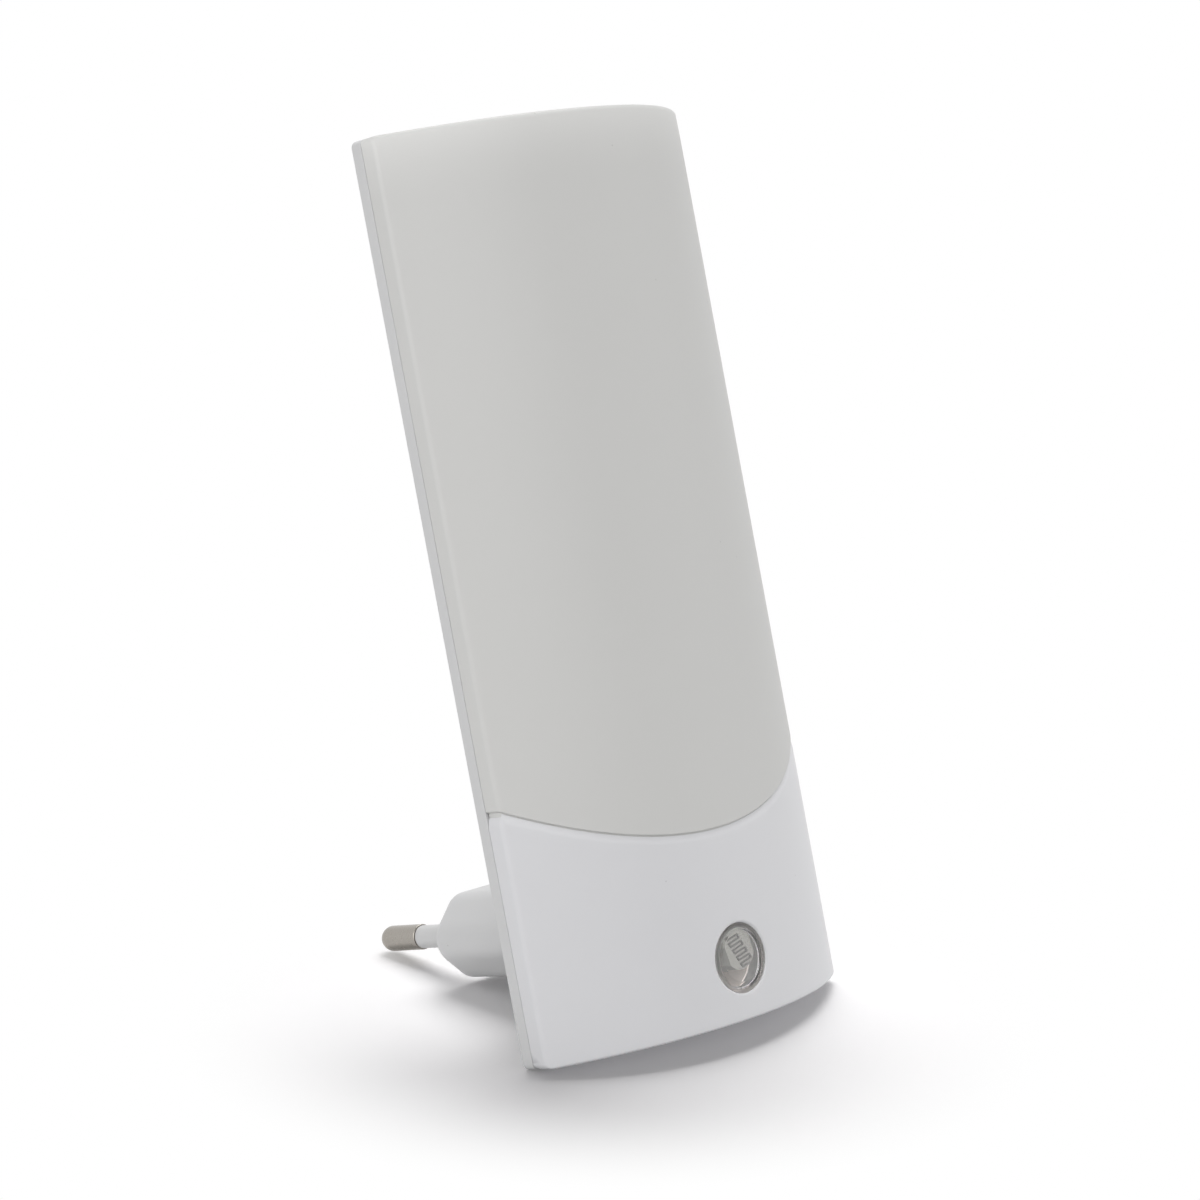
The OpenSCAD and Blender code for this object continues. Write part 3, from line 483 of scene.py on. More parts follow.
def hole_rings(border, inset):
    """Rings of points from a border to the window's hole: each point goes part of the way in a
    straight line, in x and z, and then round the hole's edge."""
    outline = border[:, [0, 2]] - [0, SENSOR_Z]
    direction = outline / np.linalg.norm(outline, axis=1)[:, None]
    hole_r = WINDOW_R + WINDOW_FIT
    flat = outline + HOLE_SHARES[:, None, None] * (direction * (hole_r + HOLE_EDGE_R) - outline)
    radius = hole_r + HOLE_EDGE_R * (1 - np.sin(HOLE_TURNS))
    ring = np.concatenate([flat, direction * radius[:, None, None]])
    ring = crown_point(ring[..., 0], ring[..., 1] + SENSOR_Z, inset)
    if inset == 0:
        ring[len(HOLE_SHARES):, :, 1] += (HOLE_EDGE_R * (1 - np.cos(HOLE_TURNS)))[:, None]
    return ring.reshape(-1, 3)


def bored_shell(rows, columns, insets, first_row, last_row, half_columns):
    """Closed cover shell with the window's round hole. The grid's cells between two rows round
    the middle column are left out, and rings of points lead from their border to the hole."""
    sheets = [np.concatenate([front_sheet(rows, columns, inset, False), cover_foot(columns, inset)])
              for inset in insets]
    height, width = sheets[0].shape[:2]
    left, right = width // 2 - half_columns, width // 2 + half_columns
    index = np.arange(height * width).reshape(height, width)
    border = np.concatenate([
        index[first_row, left:right], index[first_row:last_row, right],
        index[last_row, left + 1:right + 1][::-1], index[first_row + 1:last_row + 1, left][::-1],
    ])
    kept = np.ones((height - 1, width - 1), bool)
    kept[first_row:last_row, left:right] = False
    faces = grid_faces(height, width)[kept.ravel()]
    ring_count = len(HOLE_SHARES) + len(HOLE_TURNS)
    ring_index = height * width + np.arange(ring_count * len(border)).reshape(ring_count, -1)
    ring_index = np.vstack([border, ring_index])
    after = np.roll(ring_index, -1, axis=1)
    ring_faces = np.stack([ring_index[:-1], after[:-1], after[1:], ring_index[1:]], axis=-1)
    faces = np.concatenate([faces, ring_faces.reshape(-1, 4)])
    sheets = [sheet.reshape(-1, 3) for sheet in sheets]
    outer, inner = (np.concatenate([sheet, hole_rings(sheet[border], inset)])
                    for inset, sheet in zip(insets, sheets))
    return thicken(outer, inner, faces)


def make_diffuser(material):
    """Milky shell over the lamps, with the tongue that reaches behind the cover, the collar that
    joins the two, and the ledge in the cover's rebate. The four overlap a little."""
    overlap = 0.1
    tongue_in, tongue_out, tongue_end, root, tongue_back_y = 2.1, 2.95, -3.0, 1.2, -4.2
    ledge_root = 0.6

    def band(start, end, back_y, insets, steps):
        rows = make_rows([{"follow": 1, "shift": np.linspace(start, end, steps + 1)}])
        return shell(rows, plan_columns(back_y), insets, True)

    main = shell(diffuser_rows(), plan_columns(SHELL_BACK_Y), (0, SHELL_WALL), True)
    tongue = band(tongue_end, root, tongue_back_y, (tongue_in, tongue_out), steps=5)
    collar = band(SEAM_GAP / 2 + LIP, root - overlap, tongue_back_y - overlap,
                  (SHELL_WALL - overlap / 2, tongue_out - overlap / 2), steps=2)
    ledge = band(LIP - REBATE_REACH, ledge_root, SHELL_BACK_Y - LIP,
                 (REBATE_DEPTH, SHELL_WALL - overlap), steps=4)
    return add_piece("diffuser_shell", join_meshes(main, tongue, collar, ledge),
                     material, ["diffuser"])


def make_cover(material):
    """Lower cover with the window's hole, which lies in a nearly square patch of the grid."""
    patch_half_h, patch_rows, patch_half_columns, margin = 6.4, 32, 17, 0.6
    heights = np.linspace(SENSOR_Z + patch_half_h, SENSOR_Z - patch_half_h, patch_rows + 1)
    start_z = heights[0] + margin
    rows = make_rows(seam_rows(False, start_z) + [{"height": start_z}, {"height": heights}])
    first = len(rows["height"]) - len(heights)
    shape = bored_shell(rows, plan_columns(SHELL_BACK_Y), (0, SHELL_WALL),
                        first, first + patch_rows, patch_half_columns)
    add_piece("cover_shell", shape, material, ["lower_cover"])


# Rear housing

def round_rect(width, height, radius, inset, steps=8):
    """Outline of a rectangle with round corners about its centre, drawn in by an inset."""
    radius = max(radius - inset, LEAST_OUTLINE_R)
    corner = np.array([width / 2, height / 2]) - inset - radius
    turn = turn_steps(0, 90, steps)
    signs = [(1, 1), (-1, 1), (-1, -1), (1, -1)]
    starts = np.radians([0, 90, 180, 270])
    return np.concatenate([np.array(sign) * corner + radius * circle(turn + start)
                           for sign, start in zip(signs, starts)])


def plug_outline(inset, steps=8):
    """Outline of the six-sided plug about its centre: its flanks slope at half a right angle,
    every corner is an arc, and the left half is the right one turned through half a circle."""
    radius = max(PLUG_CORNER_R - inset, LEAST_OUTLINE_R)
    half_h = PLUG_H / 2 - inset
    half_w = PLUG_W / 2 - inset * math.sqrt(2)
    nose = half_w - radius * math.sqrt(2)
    bend = half_w - half_h - radius * (math.sqrt(2) - 1)
    arcs = [((bend, radius - half_h), -90, -45), ((nose, 0), -45, 45),
            ((bend, half_h - radius), 45, 90)]
    right = np.concatenate([np.array(centre) + radius * circle(turn_steps(start, end, steps))
                            for centre, start, end in arcs])
    return np.concatenate([right, -right])


def case_outline(inset):
    """Outline of the case about the pins' middle."""
    return round_rect(CASE_W, CASE_H, CORNER_R, inset) + [0, CASE_H / 2 - PIN_RISE]


def box_outline(inset):
    """Outline of the rear box about the pins' middle."""
    return round_rect(BOX_W, BOX_H, BOX_CORNER_R, inset) + [0, BOX_FOOT + BOX_H / 2 - PIN_RISE]


def cross(first, second):
    """Cross products of plane vectors, row by row."""
    return first[:, 0] * second[:, 1] - first[:, 1] * second[:, 0]


def along_rays(outline, angles):
    """Where rays from the centre at these angles meet an outline: the distance is the cross
    product of an edge's start and its run over that of the ray and the run."""
    past = 1e-12
    outline = outline[np.argsort(np.arctan2(outline[:, 1], outline[:, 0]))]
    corner = np.arctan2(outline[:, 1], outline[:, 0])
    start = (np.searchsorted(corner, angles + past) - 1) % len(outline)
    run = outline[(start + 1) % len(outline)] - outline[start]
    ray = circle(angles)
    return ray * (cross(outline[start], run) / cross(ray, run))[:, None]


def loft(sections):
    """Solid through outlines, each an outline function with an inset, at its depth. All rings
    have a point on the same rays from the pins' middle, and the first and last close there."""
    whole = [outline(0) for outline in (case_outline, box_outline, plug_outline)]
    angles = np.unique(np.concatenate([np.arctan2(o[:, 1], o[:, 0]) for o in whole]).round(6))
    rings = []
    for outline, inset, depth in sections:
        ring = along_rays(outline(inset), angles) if outline else np.zeros((len(angles), 2))
        rings.append(np.insert(ring, 1, depth, axis=1) + [0, 0, PIN_RISE])
    return np.concatenate(rings), grid_faces(len(rings), len(angles), closed=True)


def on_outline(outline, line):
    """Sections of one outline, at the insets and depths of a line's points."""
    return [(outline, inset, depth) for inset, depth in line]


def housing_sections():
    """Sections from the middle of the plug's end face, out over the plug, the box and the back
    of the case, round its rim and the lip inside it, and back in along the inner walls. Each
    outer line starts a little inside its end face and ends a little outside its foot."""
    lip_in, lip_out, lip_y = 2.1, 3.3, -3.8
    plug_in, plug_out, box_in, box_out, case_in = 4, -0.85, 1.2, -0.9, 2.5
    plug = round_corners([
        (plug_in, PLUG_REACH, 0), (PLUG_DRAFT, PLUG_REACH, PLUG_EDGE_R),
        (0, BOX_DEPTH, FILLET_R), (plug_out, BOX_DEPTH, 0)])
    box = round_corners([
        (box_in, BOX_DEPTH, 0), (0, BOX_DEPTH, BOX_EDGE_R), (0, 0, FILLET_R), (box_out, 0, 0)])
    case = round_corners([
        (case_in, 0, 0), (0, 0, BACK_EDGE_R), (0, -RIM_DEPTH, LIP),
        (SHELL_WALL, -RIM_DEPTH, LIP), (SHELL_WALL, -BACK_WALL, 0), (lip_in, -BACK_WALL, 0),
        (lip_in, lip_y, LIP), (lip_out, lip_y, LIP), (lip_out, -BACK_WALL, 0)])
    return [
        (None, 0, PLUG_REACH),
        *on_outline(plug_outline, plug),
        *on_outline(box_outline, box),
        *on_outline(case_outline, case),
        *on_outline(box_outline, [(BOX_WALL, -BACK_WALL), (BOX_WALL, BOX_DEPTH - BOX_WALL)]),
        *on_outline(plug_outline, [(PLUG_WALL, BOX_DEPTH - BOX_WALL), (PLUG_WALL, NOSE_Y)]),
        (None, 0, NOSE_Y),
    ]


def bars(places, *steps):
    """Solid bars along Y at places, each turned from steps of radius, start and end."""
    line = [(0, steps[0][1])]
    line += [(radius, y) for radius, start, end in steps for y in (start, end)]
    line += [(0, steps[-1][2])]
    return [lathe(np.array(line, float), x, z, sides=48) for x, z in places]


def make_housing(material):
    """Rear housing: the lofted shell, with the posts that carry the boards, the bosses and
    counterbored holes of the case screws, the posts' pilot holes and the pins' stepped bores.
    Posts and bosses reach into the back wall, and holes reach past what they are cut from."""
    post_r, post_y, pilot_r, pilot_y, embed = 2.6, -3.6, 1.1, -0.8, 0.2
    boss_r, boss_y, shank_r, head_r, head_y = 3.4, -3.2, 1.2, 2.25, -1.5
    core_r, sleeve_r, past = 1.25, 1.85, 0.6
    foot_y = embed - BACK_WALL
    posts = [(side * x, z) for side in (-1, 1)
             for x, z in ((15.2, 50.3), (16.2, 59.8), (16.2, 124.8))]
    screws = [(side * 22.5, 26.0) for side in (-1, 1)]
    pins = [(side * PIN_X, PIN_RISE) for side in (-1, 1)]
    piece = add_piece("rear_shell", loft(housing_sections()), material,
                      ["rear_housing"])
    combine(piece, join_meshes(
        *bars(posts, (post_r, post_y, foot_y)),
        *bars(screws, (boss_r, boss_y, foot_y)),
    ), "UNION")
    combine(piece, join_meshes(
        *bars(posts, (pilot_r, post_y - past, pilot_y)),
        *bars(screws, (shank_r, boss_y - past, head_y), (head_r, head_y, past)),
        *bars(pins, (core_r, NOSE_Y - past, SLEEVE_Y), (sleeve_r, SLEEVE_Y, PLUG_REACH + past)),
    ), "DIFFERENCE")


# Plug pins and sensor window

def make_pins(metal, nylon):
    """Two pins, each turned from a profile with a round end, and their sleeves. A sleeve's
    profile starts inside its loose bore, and it stops just short of the pin's thick end."""
    tail_y, flange_y, inside_y, sleeve_end, tip = 16.3, 22.3, 35, 42.5, 51.5
    core_r, flange_r, sleeve_r, pin_r = 1.2, 1.7, 1.8, 2.0
    loose, gap, hold, round_start = 0.05, 0.02, 0.6, tip - pin_r
    bore_r, stop_y = core_r + loose, sleeve_end - gap
    dome = pin_r * circle(turn_steps(0, 90, 14)) + [0, round_start]
    shank = round_corners([
        (0, tail_y, 0), (core_r, tail_y, 0.15), (core_r, flange_y, 0), (flange_r, flange_y, 0.1),
        (flange_r, NOSE_Y, 0), (core_r, NOSE_Y, 0), (core_r, sleeve_end, 0),
        (pin_r, sleeve_end, 0.12), (pin_r, round_start - hold, 0)])
    sleeve = round_corners([
        (bore_r, inside_y, 0), (bore_r, SLEEVE_Y, 0), (sleeve_r, SLEEVE_Y, 0.1),
        (sleeve_r, stop_y, 0.12), (bore_r, stop_y, 0), (bore_r, inside_y, 0)])
    pins, sleeves = (
        join_meshes(*[lathe(profile, side * PIN_X, PIN_RISE, sides=72) for side in (-1, 1)])
        for profile in (np.concatenate([shank, dome]), sleeve[:-1]))
    add_piece("pins", pins, metal, ["plug_pins"])
    add_piece("sleeves", sleeves, nylon, ["pin_sleeves"])


def make_window(material):
    """Clear window: a turned cup with a flange. The raised middle of its face stands a little
    up and to the right of the rest."""
    face, rim, seat, back = -16.7, -16.5, -14.2, -13.2
    middle_r, slope_r, hollow_r, flange_r, wall, margin = 3.85, 4.7, 4.5, 6.4, 1.2, 0.05
    lean = np.array([0.10, 0.37])
    profile = round_corners([
        (0, face, 0), (middle_r, face, 0.12), (slope_r, rim, 0.12), (WINDOW_R, rim, 0.15),
        (WINDOW_R, seat, 0), (flange_r, seat, 0.15), (flange_r, back, 0.15), (hollow_r, back, 0.1),
        (hollow_r, face + wall, 0.5), (0, face + wall, 0)], steps=5)
    radius, depth = profile[:, 0], profile[:, 1]
    on_face = depth < rim + margin
    share = np.clip((slope_r - radius) / (slope_r - middle_r), 0, 1) * on_face
    shape = lathe(profile, 0, SENSOR_Z, sides=128, lean=share[:, None] * lean)
    add_piece("window", shape, material, ["sensor_lens"], sharp_angle=30)


# Finishes

class Tree:
    """Short calls that add nodes to a tree and join them."""

    def __init__(self, tree):
        self.tree = tree

    def add(self, kind, inputs=(), **settings):
        """New node with its settings, and its inputs by name or place as values or sockets."""
        node = self.tree.nodes.new(kind)
        for key, value in settings.items():
            setattr(node, key, value)
        for key, value in dict(inputs).items():
            self.feed(node.inputs[key], value)
        return node

    def feed(self, to, value):
        """Input's value, from a socket by a link or as it is."""
        if isinstance(value, bpy.types.NodeSocket):
            self.tree.links.new(value, to)
        else:
            to.default_value = value

    def place(self):
        """Coordinates of a piece's own frame."""
        return self.add("ShaderNodeTexCoord").outputs["Object"]

    def math(self, operation, *values):
        """Result of a math node."""
        return self.add("ShaderNodeMath", enumerate(values), operation=operation).outputs[0]

    def between(self, share, low, high):
        """Number or colour that a share leads from low to high."""
        is_colour = isinstance(high, tuple)
        low, high = ((*v, 1.0) if isinstance(v, tuple) else v for v in (low, high))
        first, second, result = (6, 7, 2) if is_colour else (2, 3, 0)
        node = self.add("ShaderNodeMix", {0: share, first: low, second: high},
                        data_type="RGBA" if is_colour else "FLOAT")
        return node.outputs[result]

    def ramp(self, value, start, end, **settings):
        """Share that rises from 0 to 1 as a value goes from start to end."""
        inputs = {0: value, 1: start, 2: end}
        return self.add("ShaderNodeMapRange", inputs, **settings).outputs[0]

    def distance(self, place, centre):
        """Distance of a place from a centre."""
        inputs = {0: place, 1: centre}
        return self.add("ShaderNodeVectorMath", inputs, operation="DISTANCE").outputs["Value"]

    def mix_shader(self, share, first, second):
        """Shader that a share leads from the first to the second."""
        return self.add("ShaderNodeMixShader", {0: share, 1: first, 2: second}).outputs[0]


def new_group(name, outputs):
    """Empty node group that takes a place and a scale, and gives numbers."""
    group = bpy.data.node_groups.new(name, "ShaderNodeTree")
    for label, kind in (("Vector", "NodeSocketVector"), ("Scale", "NodeSocketFloat")):
        group.interface.new_socket(label, in_out="INPUT", socket_type=kind)
    for label in outputs:
        group.interface.new_socket(label, in_out="OUTPUT", socket_type="NodeSocketFloat")
    tree = Tree(group)
    place, scale = tree.add("NodeGroupInput").outputs[:2]
    return group, tree, place, scale, tree.add("NodeGroupOutput").inputs


def moulding_group():
    """Moulded plastic: a fine grain, a slow unevenness, and sparse small specks of dust."""
    wave_height, speck_size, common = 3.0, 0.055, 0.95
    group, tree, place, scale, result = new_group(
        "moulded_surface", ["Height", "Unevenness", "Specks"])
    fine = tree.add("ShaderNodeTexNoise", {"Vector": place, "Scale": scale, "Detail": 3.0})
    slow = tree.add("ShaderNodeTexNoise", {"Vector": place, "Scale": 45.0, "Detail": 2.0})
    wave = tree.math("MULTIPLY", slow.outputs["Fac"], wave_height)
    tree.feed(result["Height"], tree.math("ADD", fine.outputs["Fac"], wave))
    tree.feed(result["Unevenness"], slow.outputs["Fac"])
    cells = tree.add("ShaderNodeTexVoronoi", {"Vector": place, "Scale": 450.0})
    near = tree.math("LESS_THAN", cells.outputs["Distance"], speck_size)
    chosen = tree.add("ShaderNodeSeparateColor", {0: cells.outputs["Color"]})
    rare = tree.math("GREATER_THAN", chosen.outputs[0], common)
    tree.feed(result["Specks"], tree.math("MULTIPLY", near, rare))
    return group


def drawing_group():
    """Drawn metal: fine lines along the piece, and a slow tarnish."""
    along = (1.0, 0.03, 1.0)
    group, tree, place, scale, result = new_group("drawn_surface", ["Height", "Tarnish"])
    drawn = tree.add("ShaderNodeMapping", {"Vector": place, "Scale": along}).outputs[0]
    lines = tree.add("ShaderNodeTexNoise", {"Vector": drawn, "Scale": scale, "Detail": 2.0})
    slow = tree.add("ShaderNodeTexNoise", {"Vector": place, "Scale": 350.0, "Detail": 4.0})
    tree.feed(result["Height"], lines.outputs["Fac"])
    tree.feed(result["Tarnish"], slow.outputs["Fac"])
    return group


MOULDED = moulding_group()
DRAWN = drawing_group()


def new_material(name, group, scale):
    """Material with its tree, its Principled shader, and what a surface's group gives for the
    scale of its grain or lines."""
    material = bpy.data.materials.new(name)
    material.use_nodes = True
    tree = Tree(material.node_tree)
    surface = tree.add("ShaderNodeGroup", {0: tree.place(), 1: scale}, node_tree=group).outputs
    return material, tree, material.node_tree.nodes["Principled BSDF"], surface


def add_bump(tree, shader, height, depth):
    """Height in metres that feeds the shader's normal."""
    bump = tree.add("ShaderNodeBump", {"Strength": 1.0, "Distance": depth, "Height": height})
    tree.feed(shader.inputs["Normal"], bump.outputs["Normal"])


def moulded_plastic(name, colour, roughness, grain=3500.0, depth=2e-6, painted_glow=0.0):
    """Moulded plastic of one colour: unevenness shades it, and grain breaks up its gloss. A thin
    milky wall may get a painted glow: its colour is made paler by a share at its top edge, standing
    in for light that enters it there, and the gain falls as the square of the way down."""
    variation, speck_strength, glossier, duller = 0.012, 0.35, 0.03, 0.05
    material, tree, shader, surface = new_material(name, MOULDED, grain)
    low, high, dusty = (tuple(c * gain for c in colour)
                        for gain in (1 - variation, 1 + variation, DUST_SHADE))
    shade = tree.between(surface["Unevenness"], low, high)
    shade = tree.between(tree.math("MULTIPLY", surface["Specks"], speck_strength), shade, dusty)
    # Painted glow: the colour is made paler near the top edge for light entering the wall there.
    if painted_glow:
        top = HOUSING_HIGH[2] * MM
        height = tree.add("ShaderNodeSeparateXYZ", {0: tree.place()}).outputs["Z"]
        near = tree.ramp(height, top - OPAL_PAINTED_GLOW_REACH * MM, top)
        gain = tree.between(tree.math("MULTIPLY", near, near), 1.0, 1.0 + painted_glow)
        shade = tree.add("ShaderNodeVectorMath", {0: shade, 3: gain}, operation="SCALE").outputs[0]
    tree.feed(shader.inputs["Base Color"], shade)
    gloss = tree.between(surface["Unevenness"], roughness - glossier, roughness + duller)
    tree.feed(shader.inputs["Roughness"], gloss)
    add_bump(tree, shader, surface["Height"], depth)
    return material


def drawn_metal(name, colour, roughness, lines=9000.0, depth=1.5e-6):
    """Plated or bare metal with fine lines and a light tarnish, which darkens and dulls it."""
    darkest, glossier, duller = 0.9, 0.04, 0.06
    material, tree, shader, surface = new_material(name, DRAWN, lines)
    shade = tree.between(surface["Tarnish"], tuple(c * darkest for c in colour), colour)
    gloss = tree.between(surface["Tarnish"], roughness + duller, roughness - glossier)
    tree.feed(shader.inputs["Base Color"], shade)
    tree.feed(shader.inputs["Roughness"], gloss)
    tree.feed(shader.inputs["Metallic"], 1.0)
    add_bump(tree, shader, surface["Height"], depth)
    return material


def clear_plastic(name, colour, roughness, rim_roughness):
    """Clear moulding with a matt rim: light passes it, also on its way from a lamp to what lies
    behind. The distance from the window's axis tells the rim from the clear middle."""
    grain, depth, passed, transmission, index = 2500.0, 5e-7, 0.97, 0.98, 1.49
    material, tree, shader, surface = new_material(name, MOULDED, grain)
    axis = (0.0, 0.0, (SENSOR_Z + CASE_TO_ROW[2]) * MM)
    flat = {"Vector": tree.place(), "Scale": (1.0, 0.0, 1.0)}
    radius = tree.distance(tree.add("ShaderNodeMapping", flat).outputs[0], axis)
    rim = tree.ramp(radius, CLEAR_R * MM, (CLEAR_R + RIM_BLEND) * MM)
    tree.feed(shader.inputs["Base Color"], (*colour, 1.0))
    tree.feed(shader.inputs["Roughness"], tree.between(rim, roughness, rim_roughness))
    tree.feed(shader.inputs["Transmission Weight"], transmission)
    tree.feed(shader.inputs["IOR"], index)
    add_bump(tree, shader, surface["Height"], depth)
    shadow = tree.add("ShaderNodeLightPath").outputs["Is Shadow Ray"]
    lets_by = tree.add("ShaderNodeBsdfTransparent", {0: (passed, passed, passed, 1)})
    both = tree.mix_shader(shadow, shader.outputs[0], lets_by.outputs[0])
    tree.feed(material.node_tree.nodes["Material Output"].inputs[0], both)
    return material


def dress_solids():
    """Finishes of the pieces that keep their solids. A plastic has its name, its shades as they
    are seen, its roughness, and where they matter its grain and the grain's depth."""
    plastics = {
        "sensor_shroud": ("grey_shroud", (0.92, 0.88, 0.86), 0.4),
        "photocell": ("cell_ceramic", (0.48, 0.48, 0.46), 0.6, 6000.0, 6e-6),
        "photocell_track": ("cell_track", (0.12, 0.11, 0.10), 0.6, 9000.0),
        "pin_retainer": ("pressed_laminate", (0.72, 0.66, 0.52), 0.6, 2500.0, 8e-6),
        "live_wire": ("brown_insulation", (0.28, 0.14, 0.07), 0.45),
        "neutral_wire": ("blue_insulation", (0.08, 0.20, 0.50), 0.45),
        "control_board": ("green_laminate", (0.13, 0.30, 0.14), 0.3, 1500.0),
        "light_board": ("white_laminate", (0.86, 0.86, 0.84), 0.3, 1500.0),
        "light_diodes": ("lamp_phosphor", (0.88, 0.78, 0.34), 0.3),
        "reflector": ("tray_white", (0.88, 0.88, 0.87), 0.3),
        "light_baffle": ("baffle_foam", (0.13, 0.13, 0.13), 0.9, 1800.0, 6e-5),
        "film_capacitor": ("capacitor_yellow", (0.76, 0.60, 0.16), 0.35),
        "smoothing_capacitor": ("capacitor_sleeve", (0.06, 0.09, 0.24), 0.25),
        "fuse_resistor": ("cement_green", (0.28, 0.42, 0.34), 0.7, 2500.0, 1e-5),
        "zener_diode": ("amber_glass", (0.70, 0.28, 0.10), 0.12),
    }
    finishes = {node: moulded_plastic(name, linear(*shades), *surface)
                for node, (name, shades, *surface) in plastics.items()}
    steel = drawn_metal("zinc_steel", (0.55, 0.55, 0.57), 0.32)
    tin = drawn_metal("tinned_copper", (0.66, 0.66, 0.68), 0.28)
    brass = drawn_metal("lug_brass", (0.62, 0.45, 0.20), 0.3)
    black = moulded_plastic("black_epoxy", (0.02, 0.02, 0.022), 0.4)
    tan = moulded_plastic("tan_lacquer", (0.42, 0.26, 0.13), 0.35)
    shared = {
        steel: ("retainer_screw", "board_screws", "case_screws"),
        tin: ("photocell_leads", "link_wires"),
        brass: ("contact_lugs",),
        black: ("light_resistors", "rectifier_diodes", "transistor"),
        tan: ("bleed_resistor", "signal_resistors"),
    }
    finishes.update({node: finish for finish, nodes in shared.items() for node in nodes})
    for node, finish in finishes.items():
        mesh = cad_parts[node].data
        mesh.materials.clear()
        mesh.materials.append(finish)


# Stage: camera, floor, lamps and world

# Camera: place in metres, turns in degrees, and the photograph's size and focus in pixels
CAMERA_AT = (-0.37083, -0.41885, 0.06539)
CAMERA_YAW = 43.9053
CAMERA_PITCH = -1.9173
CAMERA_ROLL = -10.5304
PHOTO_SIZE = 1200
PHOTO_FOCUS = 3600

# Floor: its lean under the light, its shades for plain and for direct rays, and its glow, which
# direct rays see rise to white from GLOW_FROM to GLOW_TO metres away from GLOW_AT. The lamps face
# LAMP_TARGET, which is on the floor's own axes, as their places are.
FLOOR_LEAN = math.radians(15.52)
FLOOR_MATRIX = (Matrix.Translation((0, -PLUG_REACH * MM, HOUSING_LOW[2] * MM))
                @ Matrix.Rotation(FLOOR_LEAN, 4, "X"))
FLOOR_PLAIN = (0.92, 0.92, 0.92, 1)
FLOOR_SEEN = (1.275, 1.262, 1.272, 1)
FLOOR_BOUNCE = 0.14
GLOW_AT = (-0.006, -0.026, -0.016)
GLOW_FROM = 0.033
GLOW_TO = 0.067
WORLD_LIGHT = 0.22
LAMP_TARGET = (0, 0, 0.06)


def add_camera():
    """Camera at the photograph's place: it looks along its yaw from +Y towards +X and its
    pitch, and is rolled about that line. The lens follows from the focus in pixels."""
    data = bpy.data.cameras.new("camera")
    data.sensor_width = 36
    data.lens = PHOTO_FOCUS / PHOTO_SIZE * data.sensor_width
    data.clip_start, data.clip_end = 0.01, 20
    turn = Matrix.Rotation(math.radians(-CAMERA_YAW), 4, "Z")
    tilt = Matrix.Rotation(math.radians(90 + CAMERA_PITCH), 4, "X")
    roll = Matrix.Rotation(math.radians(CAMERA_ROLL), 4, "Z")
    camera = add_object("camera", data)
    camera.matrix_world = Matrix.Translation(CAMERA_AT) @ turn @ tilt @ roll
    bpy.context.scene.camera = camera


def seen_directly(tree):
    """1 for the rays that see the background: from the camera, a mirror or a clear piece."""
    path = tree.add("ShaderNodeLightPath").outputs
    clear = tree.math("MAXIMUM", path["Is Glossy Ray"], path["Is Transmission Ray"])
    return tree.math("MAXIMUM", path["Is Camera Ray"], clear)


def add_floor():
    """White floor under the leaning light, open to rays from below. Seen directly, it is
    brightened to white where it is fully lit, keeps its shadows, and glows white away from the
    light. Other rays meet it plain, with a little glow to light what faces it."""
    size = 3.0
    mesh = bpy.data.meshes.new("floor")
    corners = [(-size, -size, 0), (size, -size, 0), (size, size, 0), (-size, size, 0)]
    mesh.from_pydata([FLOOR_MATRIX @ Vector(c) for c in corners], [], [(0, 1, 2, 3)])
    floor = add_object("floor", mesh)
    material = bpy.data.materials.new("white_floor")
    material.use_nodes = True
    tree = Tree(material.node_tree)
    material.node_tree.nodes.clear()
    grey = tree.add("ShaderNodeBsdfDiffuse", {"Color": FLOOR_PLAIN})
    bounce = tree.add("ShaderNodeEmission", {"Strength": FLOOR_BOUNCE})
    plain = tree.add("ShaderNodeAddShader", {0: grey.outputs[0], 1: bounce.outputs[0]})
    bright = tree.add("ShaderNodeBsdfDiffuse", {"Color": FLOOR_SEEN})
    glow = tree.add("ShaderNodeEmission")
    far = tree.ramp(tree.distance(tree.place(), GLOW_AT), GLOW_FROM, GLOW_TO,
                    interpolation_type="SMOOTHSTEP")
    under = tree.add("ShaderNodeNewGeometry").outputs["Backfacing"]
    see_through = tree.add("ShaderNodeBsdfTransparent").outputs[0]
    seen = tree.mix_shader(far, bright.outputs[0], glow.outputs[0])
    both = tree.mix_shader(seen_directly(tree), plain.outputs[0], seen)
    tree.add("ShaderNodeOutputMaterial", {0: tree.mix_shader(under, both, see_through)})
    mesh.materials.append(material)
    return floor


def add_lamp(name, place, size, power, lights):
    """Square soft lamp that faces the target. A collection says what it lights."""
    data = bpy.data.lights.new(name, "AREA")
    data.shape, data.size, data.energy = "SQUARE", size, power
    at, to = FLOOR_MATRIX @ Vector(place), FLOOR_MATRIX @ Vector(LAMP_TARGET)
    lamp = add_object(name, data)
    turn = (to - at).to_track_quat("-Z", "Y").to_matrix().to_4x4()
    lamp.matrix_world = Matrix.Translation(at) @ turn
    lamp.visible_camera = False
    lamp.light_linking.receiver_collection = lights


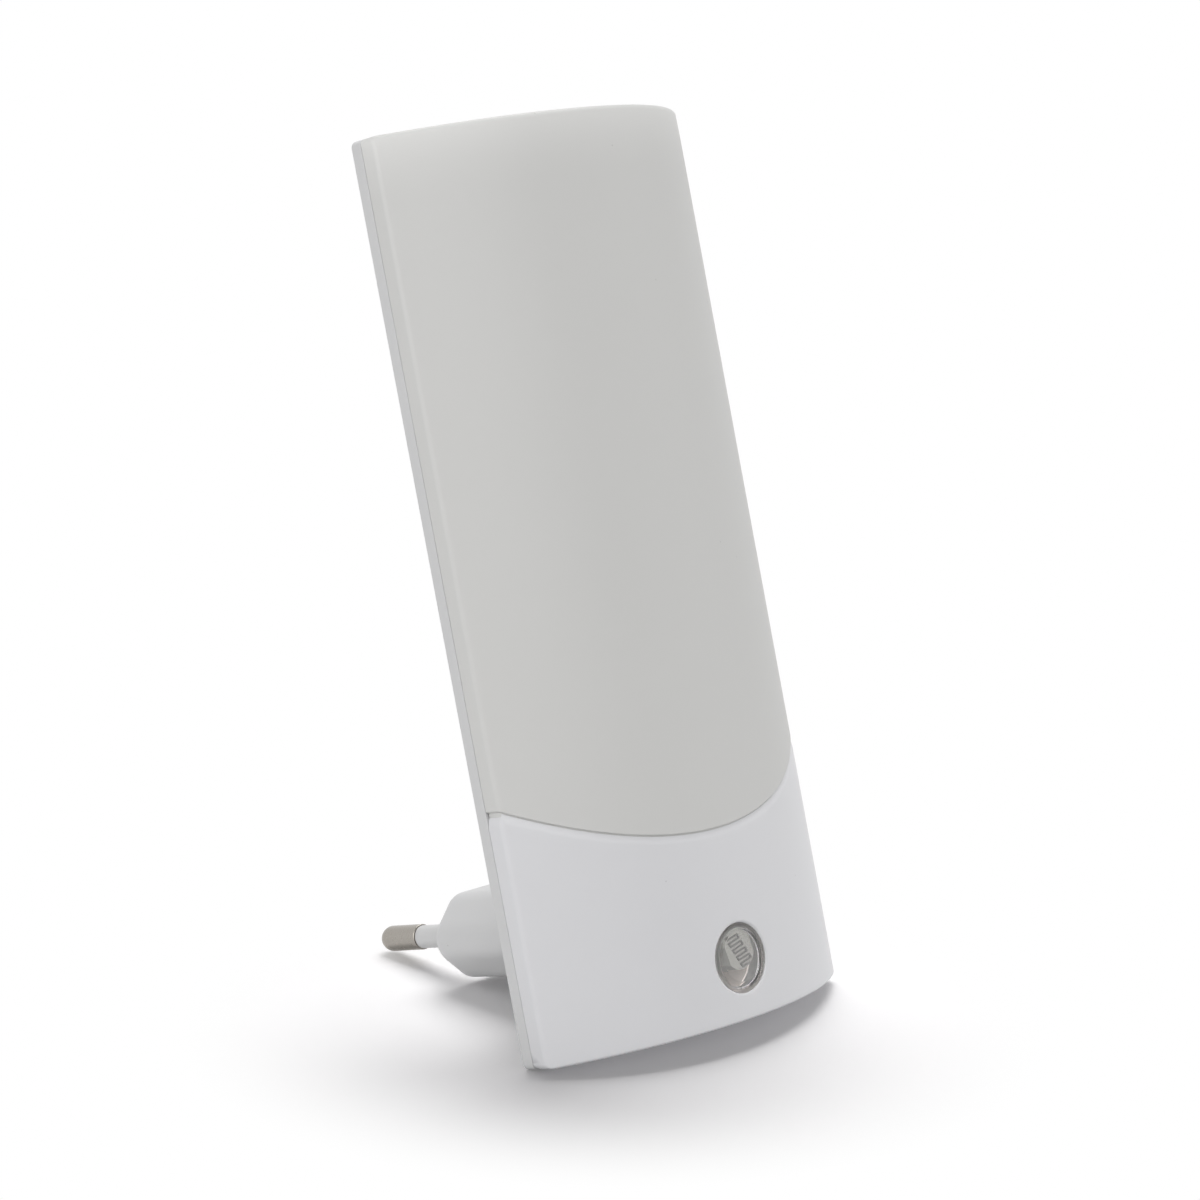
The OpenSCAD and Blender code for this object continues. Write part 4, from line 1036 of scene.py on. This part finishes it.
def lit(state, piece):
    """Collection that lets a lamp light one piece only, or all but that piece."""
    group = bpy.data.collections.new(state.lower() + "_" + piece.name)
    group.objects.link(piece)
    group.collection_objects[0].light_linking.link_state = state
    return group


def add_lamps(floor, diffuser):
    """A lamp high behind the light, whose shadow falls forward on the floor, with a weaker one
    in its place for the diffuser, and fill lamps round the front that leave the floor unlit.
    Each has its place and size in metres, its power in watts and what it lights."""
    behind, fill = (0.42, 0.34, 0.92), lit("EXCLUDE", floor)
    lamps = {
        "back_lamp": (behind, 0.8, 8.0, lit("EXCLUDE", diffuser)),
        "top_lamp": (behind, 0.8, 2.8, lit("INCLUDE", diffuser)),
        "front_fill": ((-0.3, -0.75, 0.8), 1.0, 5.95, fill),
        "left_fill": ((-0.9, 0.2, 0.35), 0.9, 4.85, fill),
        "right_fill": ((0.8, -0.6, 0.4), 0.9, 1.8, fill),
    }
    for name, lamp in lamps.items():
        add_lamp(name, *lamp)


def add_world():
    """White surroundings: at full strength where they are seen, and at their own as light."""
    world = bpy.data.worlds.new("world")
    bpy.context.scene.world = world
    world.use_nodes = True
    tree = Tree(world.node_tree)
    world.node_tree.nodes.clear()
    light = tree.add("ShaderNodeBackground", {0: (1, 1, 1, 1), 1: WORLD_LIGHT})
    white = tree.add("ShaderNodeBackground", {0: (1, 1, 1, 1), 1: 1.0})
    both = tree.mix_shader(seen_directly(tree), light.outputs[0], white.outputs[0])
    tree.add("ShaderNodeOutputWorld", {0: both})


# The diffuser's colour carries a painted glow at its top edge.
opal = moulded_plastic("opal_diffuser", OPAL, 0.42, painted_glow=OPAL_PAINTED_GLOW)
white = moulded_plastic("white_abs", WHITE_ABS, 0.38)
housing_white = moulded_plastic("housing_abs", HOUSING_WHITE, 0.4)
nylon = moulded_plastic("sleeve_nylon", SLEEVE_WHITE, 0.4)
nickel = drawn_metal("nickel_pins", NICKEL, 0.26)
clear = clear_plastic("clear_window", CLEAR, roughness=0.0, rim_roughness=0.45)
dress_solids()
diffuser = make_diffuser(opal)
make_cover(white)
make_housing(housing_white)
make_pins(nickel, nylon)
make_window(clear)

add_camera()
add_world()
add_lamps(add_floor(), diffuser)

bpy.context.scene.view_settings.view_transform = "Standard"
